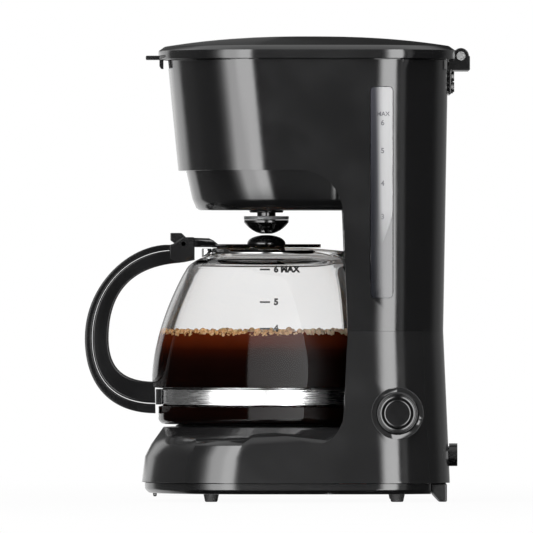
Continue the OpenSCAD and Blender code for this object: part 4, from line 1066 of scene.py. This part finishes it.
def spout(r, z, angle):
    """Draws the neck out to the pouring lip on the side away from the handle."""
    turn = abs((math.degrees(angle) + 180) % 360 - 180)
    if z < 112 or turn > 2.6 * SPOUT_HALF:
        return r, z
    pull = math.exp(-((turn / SPOUT_HALF) ** 2)) * min(1.0, (z - 112) / 16) ** 1.2
    pull *= max(0.0, 1 - (turn / (2.6 * SPOUT_HALF)) ** 4)
    reach = max(SPOUT_TIP - (JUG_HIGH.z - z) * 0.08 - (NECK_R - min(r, NECK_R)), r)
    return r + (reach - r) * pull, z - 1.7 * pull * max(0.0, (z - 131) / 6)


class MAKER_OT_jug(bpy.types.Operator):
    """Glass jug with its pouring lip and marks"""

    bl_idname = "maker.jug"
    bl_label = "Glass jug"

    def execute(self, context):
        wall = context.scene.maker_carafe.wall / MM
        outside, inside = jug_side(0), jug_side(wall)
        rim = JUG_HIGH.z
        lip = [(NECK_R + 0.1, rim - 0.7), (NECK_R - 0.4, rim - 0.15), (NECK_R - wall / 2, rim), (NECK_R - wall + 0.3, rim - 0.15),
               (NECK_R - wall, rim - 0.7)]
        profile = outside + lip + inside[::-1]
        jug = new_piece("jug_body", *lathe(profile, 192, spout), 60)
        settle(jug, "glass_jug")

        def surface(y, z):
            for (r0, z0), (r1, z1) in zip(outside, outside[1:]):
                if z0 > 66 and z0 <= z < z1:
                    break
            return math.sqrt((r0 + (r1 - r0) * (z - z0) / (z1 - z0)) ** 2 - y * y) + 0.12

        marks = []
        for text, z in (("6 MAX", 125.3), ("5", 107.7), ("4", 93.4)):
            marks.append(lettering("mark", text, 3.4, (4.1, z), surface, 0.08))
            dash = [(-3.5 + 5.5 * k / 6, z + side * 0.46) for side in (-1, 1) for k in range(7)]
            faces = [(k, k + 1, k + 8, k + 7) for k in range(6)]
            marks.append(new_piece("dash", [at(surface(y, h), y, h) for y, h in dash], faces))
        settle(joined("jug_numbers", marks), "jug_marks")
        return {"FINISHED"}


class MAKER_OT_coffee(bpy.types.Operator):
    """Coffee with its foam"""

    bl_idname = "maker.coffee"
    bl_label = "Coffee"

    def execute(self, context):
        settings = context.scene.maker_carafe
        inset = settings.wall / MM - 0.03
        side = [p for p in jug_side(inset) if p[1] < COFFEE_TOP]
        edge = belly(COFFEE_TOP) - inset
        side += [(edge, COFFEE_TOP), (edge - 0.8, COFFEE_TOP - 0.25)]
        side += [(edge - 2.5, COFFEE_TOP - 0.3), (0.0, COFFEE_TOP - 0.3)]
        settle(new_piece("coffee_fill", *lathe(side, 144), 60), "coffee")

        # a thin layer of foam on the surface, and bubbles along the glass
        skim = [(0.0, COFFEE_TOP - 0.5), (edge - 0.05, COFFEE_TOP - 0.5), (edge - 0.05, COFFEE_TOP + 0.1)]
        skim += [(edge - 3, COFFEE_TOP - 0.1), (0.0, COFFEE_TOP - 0.15)]
        foam = foam_bubble("foam", settings.foam)
        pale = foam_bubble("pale_foam", (0.62, 0.42, 0.28))
        add_to(new_piece("foam_skin", *lathe(skim, 96)), "coffee", pale)
        add_to(self.bubbles(settings, edge, foam), "coffee", foam)
        return {"FINISHED"}

    @staticmethod
    def bubbles(settings, edge, foam):
        """Small spheres scattered round the wall, by geometry nodes."""
        group = bpy.data.node_groups.new("foam_ring", "GeometryNodeTree")
        tree = Tree(group)
        face = group.interface
        count = face.new_socket("Count", in_out="INPUT", socket_type="NodeSocketInt")
        radius = face.new_socket("Ring radius", in_out="INPUT", socket_type="NodeSocketFloat")
        level = face.new_socket("Level", in_out="INPUT", socket_type="NodeSocketFloat")
        size = face.new_socket("Bubble size", in_out="INPUT", socket_type="NodeSocketFloat")
        face.new_socket("Geometry", in_out="OUTPUT", socket_type="NodeSocketGeometry")
        given = tree.add("NodeGroupInput").outputs
        points = tree.add("GeometryNodePoints", {"Count": given["Count"]})

        def chance(low, high, seed):
            node = tree.add("FunctionNodeRandomValue", data_type="FLOAT")
            node.inputs[2].default_value, node.inputs[3].default_value = low, high
            node.inputs["Seed"].default_value = seed
            return node.outputs[1]

        turn = chance(0, 2 * math.pi, 1)
        depth = tree.math("POWER", chance(0, 1, 2), 1.15)
        spread = tree.math("MULTIPLY_ADD", tree.math("POWER", chance(0, 1, 3), 3), 2.1, 0.8)
        scale = tree.math("MULTIPLY", given["Bubble size"], spread)
        ring = tree.math("SUBTRACT", given["Ring radius"], tree.math("MULTIPLY", scale, 0.55))
        z = tree.math("SUBTRACT", given["Level"], tree.math("MULTIPLY", depth, 0.0058))
        spot = tree.add("ShaderNodeCombineXYZ", {
            0: tree.math("MULTIPLY", ring, tree.math("COSINE", turn)),
            1: tree.math("MULTIPLY_ADD", ring, tree.math("SINE", turn), BREW_Y * MM),
            2: z,
        })
        placed = tree.add("GeometryNodeSetPosition", {"Geometry": points.outputs[0], "Position": spot.outputs[0]})
        ball = tree.add("GeometryNodeMeshIcoSphere", {"Radius": 1.0, "Subdivisions": 2})
        inputs = {"Points": placed.outputs[0], "Instance": ball.outputs[0], "Scale": scale}
        shown = tree.add("GeometryNodeInstanceOnPoints", inputs)
        real = tree.add("GeometryNodeRealizeInstances", {"Geometry": shown.outputs[0]})
        smooth = tree.add("GeometryNodeSetShadeSmooth", {"Geometry": real.outputs[0]})
        painted = tree.add("GeometryNodeSetMaterial", {"Geometry": smooth.outputs[0], "Material": foam})
        tree.add("NodeGroupOutput", {0: painted.outputs[0]})
        piece = bpy.data.objects.new("foam_bubbles", bpy.data.meshes.new("foam_bubbles"))
        bpy.context.scene.collection.objects.link(piece)
        made = piece.modifiers.new("ring", "NODES")
        made.node_group = group
        top = (COFFEE_TOP + 0.35) * MM
        for socket, value in ((count, settings.bubbles), (radius, edge * MM), (level, top), (size, 0.00066)):
            made[socket.identifier] = value
        return baked(piece)


class MAKER_OT_band(bpy.types.Operator):
    """Steel band with its clamp, and the collar round the neck"""

    bl_idname = "maker.band"
    bl_label = "Band and collar"

    def execute(self, context):
        low, high = BAND_LOW.z, BAND_HIGH.z
        outer = BAND_HIGH.x
        side = [(outer - 0.5, low), (outer, low), (outer, low + 0.9), (outer - 0.25, low + 1.2), (outer - 0.25, high - 1.2),
                (outer, high - 0.9), (outer, high), (outer - 0.5, high), (outer - 0.5, low)]
        settle(new_piece("band_ring", *lathe(rounded(side, 0.2, 2), 192)), "steel_band")
        settle(skin("band_clamp", "clamp", 0.0004), "band_clamp")
        settle(skin("neck_collar", "collar", 0.0003), "neck_collar")
        return {"FINISHED"}


HANDLE_HALF = 9.0
HANDLE_REACH = 98.4
HANDLE_MID = 88.0
HANDLE_OUTER = (((-52, 138.7), (-73, 139.7), (-HANDLE_REACH, 118), (-HANDLE_REACH, HANDLE_MID)),
                ((-HANDLE_REACH, HANDLE_MID), (-HANDLE_REACH, 62), (-84, 47.3), (-60.1, 47.3)))
HANDLE_INNER = (((-46.6, 128.9), (-74, 127), (-85.5, 112), (-85.5, HANDLE_MID)),
                ((-85.5, HANDLE_MID), (-85.5, 72), (-78, 64.5), (-60.4, 64.5)))


class MAKER_OT_handle(bpy.types.Operator):
    """Handle of the carafe: soft-edged grip with its outer spine"""

    bl_idname = "maker.handle"
    bl_label = "Handle"

    def execute(self, context):
        outer = bezier(*HANDLE_OUTER[0], 26) + bezier(*HANDLE_OUTER[1], 26, 1)
        inner = bezier(*HANDLE_INNER[0], 26) + bezier(*HANDLE_INNER[1], 26, 1)
        grip = self.strand("grip_body", outer, inner, 0.325, 1.0, HANDLE_HALF, 0.17)
        finish = glossy_plastic("grip_plastic", context.scene.maker_housing.black, 0.13)
        finish.node_tree.nodes["Principled BSDF"].inputs["Specular IOR Level"].default_value = 0.22
        settle(grip, "handle_grip", material=finish)
        spine = self.strand("grip_spine", outer, inner, 0.0, 0.3, HANDLE_HALF - 0.5, 0.19)
        settle(spine, "handle_spine", material=finish)
        # the block that carries the pin of the carafe's lid, with its two cheeks
        block = [(-52.5, 138.6), (-52.5, 131), (-47.6, 128.9), (-44.6, 129.2), (-38.9, 133), (-38.9, 142.8)]
        block += [(-45, 142.8), (-50.5, 139.2)]
        side = rounded(block, 0.8, 3, True)
        for s in (1, -1):
            x0, x1 = sorted((s * 5.2, s * HANDLE_HALF))
            cheek = new_piece("pin_cheek", *loft([[at(x, y, z) for y, z in side] for x in (x0, x1)]))
            round_edges(cheek, 0.0005)
            add_to(cheek, "handle_grip")
        floor = [(-55.6, 131), (-38.9, 133.4), (-38.9, 130.4), (-44.6, 129.2), (-47.6, 128.9), (-55.6, 129)]
        web = new_piece("pin_web", *loft([[at(x, y, z) for y, z in floor] for x in (-5.3, 5.3)]))
        add_to(web, "handle_grip")
        return {"FINISHED"}

    @staticmethod
    def strand(name, outer, inner, share_a, share_b, half, square):
        """A bar between two shares of the way from the outer to the inner edge, with a rounded section."""
        rings = []
        for o, i in zip(outer, inner):
            o, i = Vector(o), Vector(i)
            a, b = o + (i - o) * share_a, o + (i - o) * share_b
            middle, reach = (a + b) / 2, (b - a) / 2
            ring = []
            for k in range(28):
                t = 2 * math.pi * k / 28
                c, s = math.cos(t), math.sin(t)
                across = math.copysign(abs(s) ** square, s) * half
                along = math.copysign(abs(c) ** square, c)
                ring.append(at(across, middle.x + reach.x * along, middle.y + reach.y * along))
            rings.append(ring)
        strand = new_piece(name, *loft(rings), 50)
        strand.modifiers.new("flats", "WEIGHTED_NORMAL").keep_sharp = True
        # the lever of the carafe's lid swings in a slot at the top
        return cut_away(baked(strand), ((-5.3, -57, 131.4), (5.3, -38, 150)))


class MAKER_OT_carafe_lid(bpy.types.Operator):
    """Lid of the carafe with its lever and its dome"""

    bl_idname = "maker.carafe_lid"
    bl_label = "Carafe lid"

    def execute(self, context):
        settle(skin("jug_lid", "pour_lid", 0.0004), "jug_lid")
        low, high = edges_of("jug_lid_dome")
        r, rise = (high.x - low.x) / 2, high.z - low.z
        turns = [math.radians(a) for a in range(8, 88, 8)]
        side = [(0.0, high.z)] + [(r * math.sin(a), low.z + rise * math.cos(a) ** 0.9) for a in turns]
        side += [(r, low.z + 0.3), (r, low.z), (0.0, low.z)]
        settle(new_piece("dome", *lathe(side, 96), 50), "jug_lid_dome")
        return {"FINISHED"}


class MAKER_OT_drip_valve(bpy.types.Operator):
    """Drip valve below the brew bowl"""

    bl_idname = "maker.drip_valve"
    bl_label = "Drip valve"

    def execute(self, context):
        settle(skin("valve_stem", "stem", 0.0002), "valve_stem")
        settle(skin("valve_washer", "washer", 0.0003), "valve_washer")
        settle(skin("valve_cup", "cup", 0.00025, 40), "valve_cup")
        # the spring, which shortens between the valve's seal and the bowl's bridge, gets a mesh of its own
        coil = settle(skin("valve_spring", "coil", 0), "valve_spring")
        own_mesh(coil)
        return {"FINISHED"}


class MAKER_OT_hidden_parts(bpy.types.Operator):
    """Finishes of every other piece, such as the heater, hoses, filter and screws"""

    bl_idname = "maker.hidden_parts"
    bl_label = "Inner parts"

    def execute(self, context):
        for node, piece in NODES.items():
            if piece.hide_render:
                continue
            material = slot_finish(SLOT_OF[node])
            if not piece.data.materials:
                piece.data.materials.append(material)
            for slot in piece.material_slots:
                slot.material = material
        return {"FINISHED"}


# ---------- studio ----------
# What the studio shows by its turn from the camera's side, in degrees: positive turns are towards the front
SATIN_STUDIO = (
    (-180, 0.3), (-127, 0.25), (-108, 0.03), (-53, 0.03), (-49, 0.75), (-43, 0.75), (-39, 0.15), (-37, 0.4), (-34, 10),
    (-25, 10), (-15, 9.6), (-8, 1.5), (-5, 0.22), (4, 0.22), (8, 1), (12, 9.5), (25, 9.5), (33, 7.5), (49, 7), (56, 3.5),
    (63, 1.1), (71, 0.3), (80, 0.12), (143, 0.12), (147, 1), (180, 1),
)
CLEAR_STUDIO = (
    (-180, 0.4), (-127, 0.25), (-100, 0.1), (-78, 0.1), (-76, 2.4), (-40, 1.9), (18, 1.1), (20, 0.012), (143, 0.012),
    (147, 0.9), (180, 0.9),
)


class MAKER_OT_studio(bpy.types.Operator):
    """Camera, floor, soft boxes and light"""

    bl_idname = "maker.studio"
    bl_label = "Studio"

    def execute(self, context):
        scene = context.scene
        settings = scene.maker_studio
        self.camera(scene, settings)
        self.floor()
        self.world(scene, settings)
        lamp = bpy.data.lights.new("key", "AREA")
        lamp.shape, lamp.size, lamp.energy = "DISK", 1.4, 16
        key = bpy.data.objects.new("key", lamp)
        key.location = (1.5, -1.3, 1.9)
        key.rotation_euler = (Vector((0, 0, 0.1)) - key.location).to_track_quat("-Z", "Y").to_euler()
        key.visible_glossy = False
        key.visible_transmission = False
        scene.collection.objects.link(key)
        scene.view_settings.view_transform = "Standard"
        return {"FINISHED"}

    @staticmethod
    def camera(scene, settings):
        eye = bpy.data.cameras.new("eye")
        eye.sensor_width = 36
        eye.lens = 36 * settings.reach / settings.view_width
        eye.clip_end = 60
        camera = bpy.data.objects.new("eye", eye)
        side = 0.04
        camera.location = (settings.reach + side, -0.0057, 0.1269)
        camera.rotation_euler = (math.radians(90), 0, math.radians(90))
        scene.collection.objects.link(camera)
        scene.camera = camera

    @staticmethod
    def floor():
        """A pale floor that fades into the background away from the machine."""
        bpy.ops.mesh.primitive_circle_add(vertices=96, radius=2.2, fill_type="NGON")
        floor = bpy.context.object
        floor.name = "floor"
        material = bpy.data.materials.new("pale_floor")
        material.use_nodes = True
        tree = Tree(material.node_tree)
        shader = material.node_tree.nodes["Principled BSDF"]
        camera = tree.add("ShaderNodeLightPath").outputs["Is Camera Ray"]
        join(tree, tree.blend(camera, (0.35, 0.35, 0.35, 1), (0.8, 0.8, 0.8, 1)), shader, "Base Color")
        shader.inputs["Roughness"].default_value = 0.6
        distance = tree.add("ShaderNodeVectorMath", {0: tree.place()}, operation="LENGTH").outputs["Value"]
        far = tree.between(distance, 0.25, 1.0, 0.95, 1.0)
        seen = tree.math("MULTIPLY", camera, far)
        glow = tree.add("ShaderNodeEmission", {"Color": (1, 1, 1, 1), "Strength": 1.0})
        mixed = tree.add("ShaderNodeMixShader", {0: seen, 1: shader.outputs[0], 2: glow.outputs[0]})
        join(tree, mixed.outputs[0], material.node_tree.nodes["Material Output"], "Surface")
        floor.data.materials.append(material)
        floor.visible_glossy = False

    @staticmethod
    def world(scene, settings):
        """White to the camera. Polished surfaces see upright soft boxes by their turn round the machine."""
        world = bpy.data.worlds.new("studio")
        scene.world = world
        world.use_nodes = True
        tree = Tree(world.node_tree)
        path = tree.add("ShaderNodeLightPath").outputs
        toward = tree.add("ShaderNodeSeparateXYZ", {0: tree.add("ShaderNodeTexCoord").outputs["Generated"]}).outputs
        turn = tree.math("ARCTAN2", tree.math("MULTIPLY", toward["Y"], -1.0), toward["X"])
        turn = tree.math("MULTIPLY_ADD", turn, 0.5 / math.pi, 0.5)

        def around(levels):
            return tree.ramp(turn, [(0.5 + degrees / 360, (level / 10,) * 3) for degrees, level in levels])

        upright = tree.between(tree.math("ABSOLUTE", toward["Z"]), 0.45, 0.75, 1.0, 0.0)
        behind = tree.math("MULTIPLY", tree.between(toward["X"], -0.5, -0.9), tree.between(toward["Z"], 0.015, 0.07))
        behind = tree.math("MULTIPLY", behind, tree.between(tree.math("ABSOLUTE", toward["Y"]), 0.42, 0.2))
        satin = tree.math("MULTIPLY", around(SATIN_STUDIO), settings.boxes)
        clear = tree.math("MULTIPLY", around(CLEAR_STUDIO), 10.0)
        polished = tree.blend(path["Is Singular Ray"], satin, clear)
        polished = tree.math("MULTIPLY", polished, tree.math("MULTIPLY_ADD", behind, -0.9, 1.0))
        polished = tree.math("MULTIPLY_ADD", polished, upright, tree.between(toward["Z"], 0.4, 0.85, 0.0, 1.05))
        # straight through the glass it is white; bent rays find the dark room, or the grey rim of the outline
        through = tree.between(tree.math("ABSOLUTE", toward["X"]), 0.9967, 0.9978, 0.04, 0.98)
        rim = tree.math("LESS_THAN", path["Transmission Depth"], 2.5)
        through = tree.math("MULTIPLY_ADD", rim, tree.math("SUBTRACT", 0.5, through), through)
        scattered = tree.math("GREATER_THAN", path["Diffuse Depth"], 0.5)
        through = tree.math("MULTIPLY_ADD", scattered, tree.math("SUBTRACT", 2.0, through), through)
        gain = tree.math("SUBTRACT", polished, settings.daylight)
        level = tree.math("MULTIPLY_ADD", path["Is Glossy Ray"], gain, settings.daylight)
        level = tree.math("MULTIPLY_ADD", path["Is Transmission Ray"], tree.math("SUBTRACT", through, level), level)
        level = tree.math("MAXIMUM", level, path["Is Camera Ray"])
        background = world.node_tree.nodes["Background"]
        background.inputs["Color"].default_value = (1, 1, 1, 1)
        join(tree, level, background, "Strength")


OPERATORS = (
    MAKER_OT_studio,
    MAKER_OT_housings,
    MAKER_OT_underside,
    MAKER_OT_top_lid,
    MAKER_OT_gauge,
    MAKER_OT_switch,
    MAKER_OT_jug,
    MAKER_OT_coffee,
    MAKER_OT_band,
    MAKER_OT_handle,
    MAKER_OT_carafe_lid,
    MAKER_OT_drip_valve,
    MAKER_OT_hidden_parts,
)
SETTINGS = {"maker_housing": HousingSettings, "maker_carafe": CarafeSettings, "maker_studio": StudioSettings}


class MAKER_PT_panel(bpy.types.Panel):
    """Lists the coffee maker's pieces and settings"""

    bl_idname = "MAKER_PT_panel"
    bl_label = "Coffee Maker"
    bl_space_type = "VIEW_3D"
    bl_region_type = "UI"
    bl_category = "Coffee Maker"

    def draw(self, context):
        for group in SETTINGS:
            box = self.layout.box()
            for prop in getattr(context.scene, group).bl_rna.properties:
                if prop.identifier not in ("rna_type", "name"):
                    box.prop(getattr(context.scene, group), prop.identifier)
        for operator in OPERATORS:
            self.layout.operator(operator.bl_idname)


def register():
    for kind in (*SETTINGS.values(), *OPERATORS, MAKER_PT_panel):
        bpy.utils.register_class(kind)
    for name, kind in SETTINGS.items():
        setattr(bpy.types.Scene, name, PointerProperty(type=kind))


def unregister():
    for name in SETTINGS:
        delattr(bpy.types.Scene, name)
    for kind in reversed((*SETTINGS.values(), *OPERATORS, MAKER_PT_panel)):
        bpy.utils.unregister_class(kind)


def main():
    register()
    for operator in OPERATORS:
        group, name = operator.bl_idname.split(".")
        getattr(getattr(bpy.ops, group), name)()


if __name__ == "__main__":
    main()
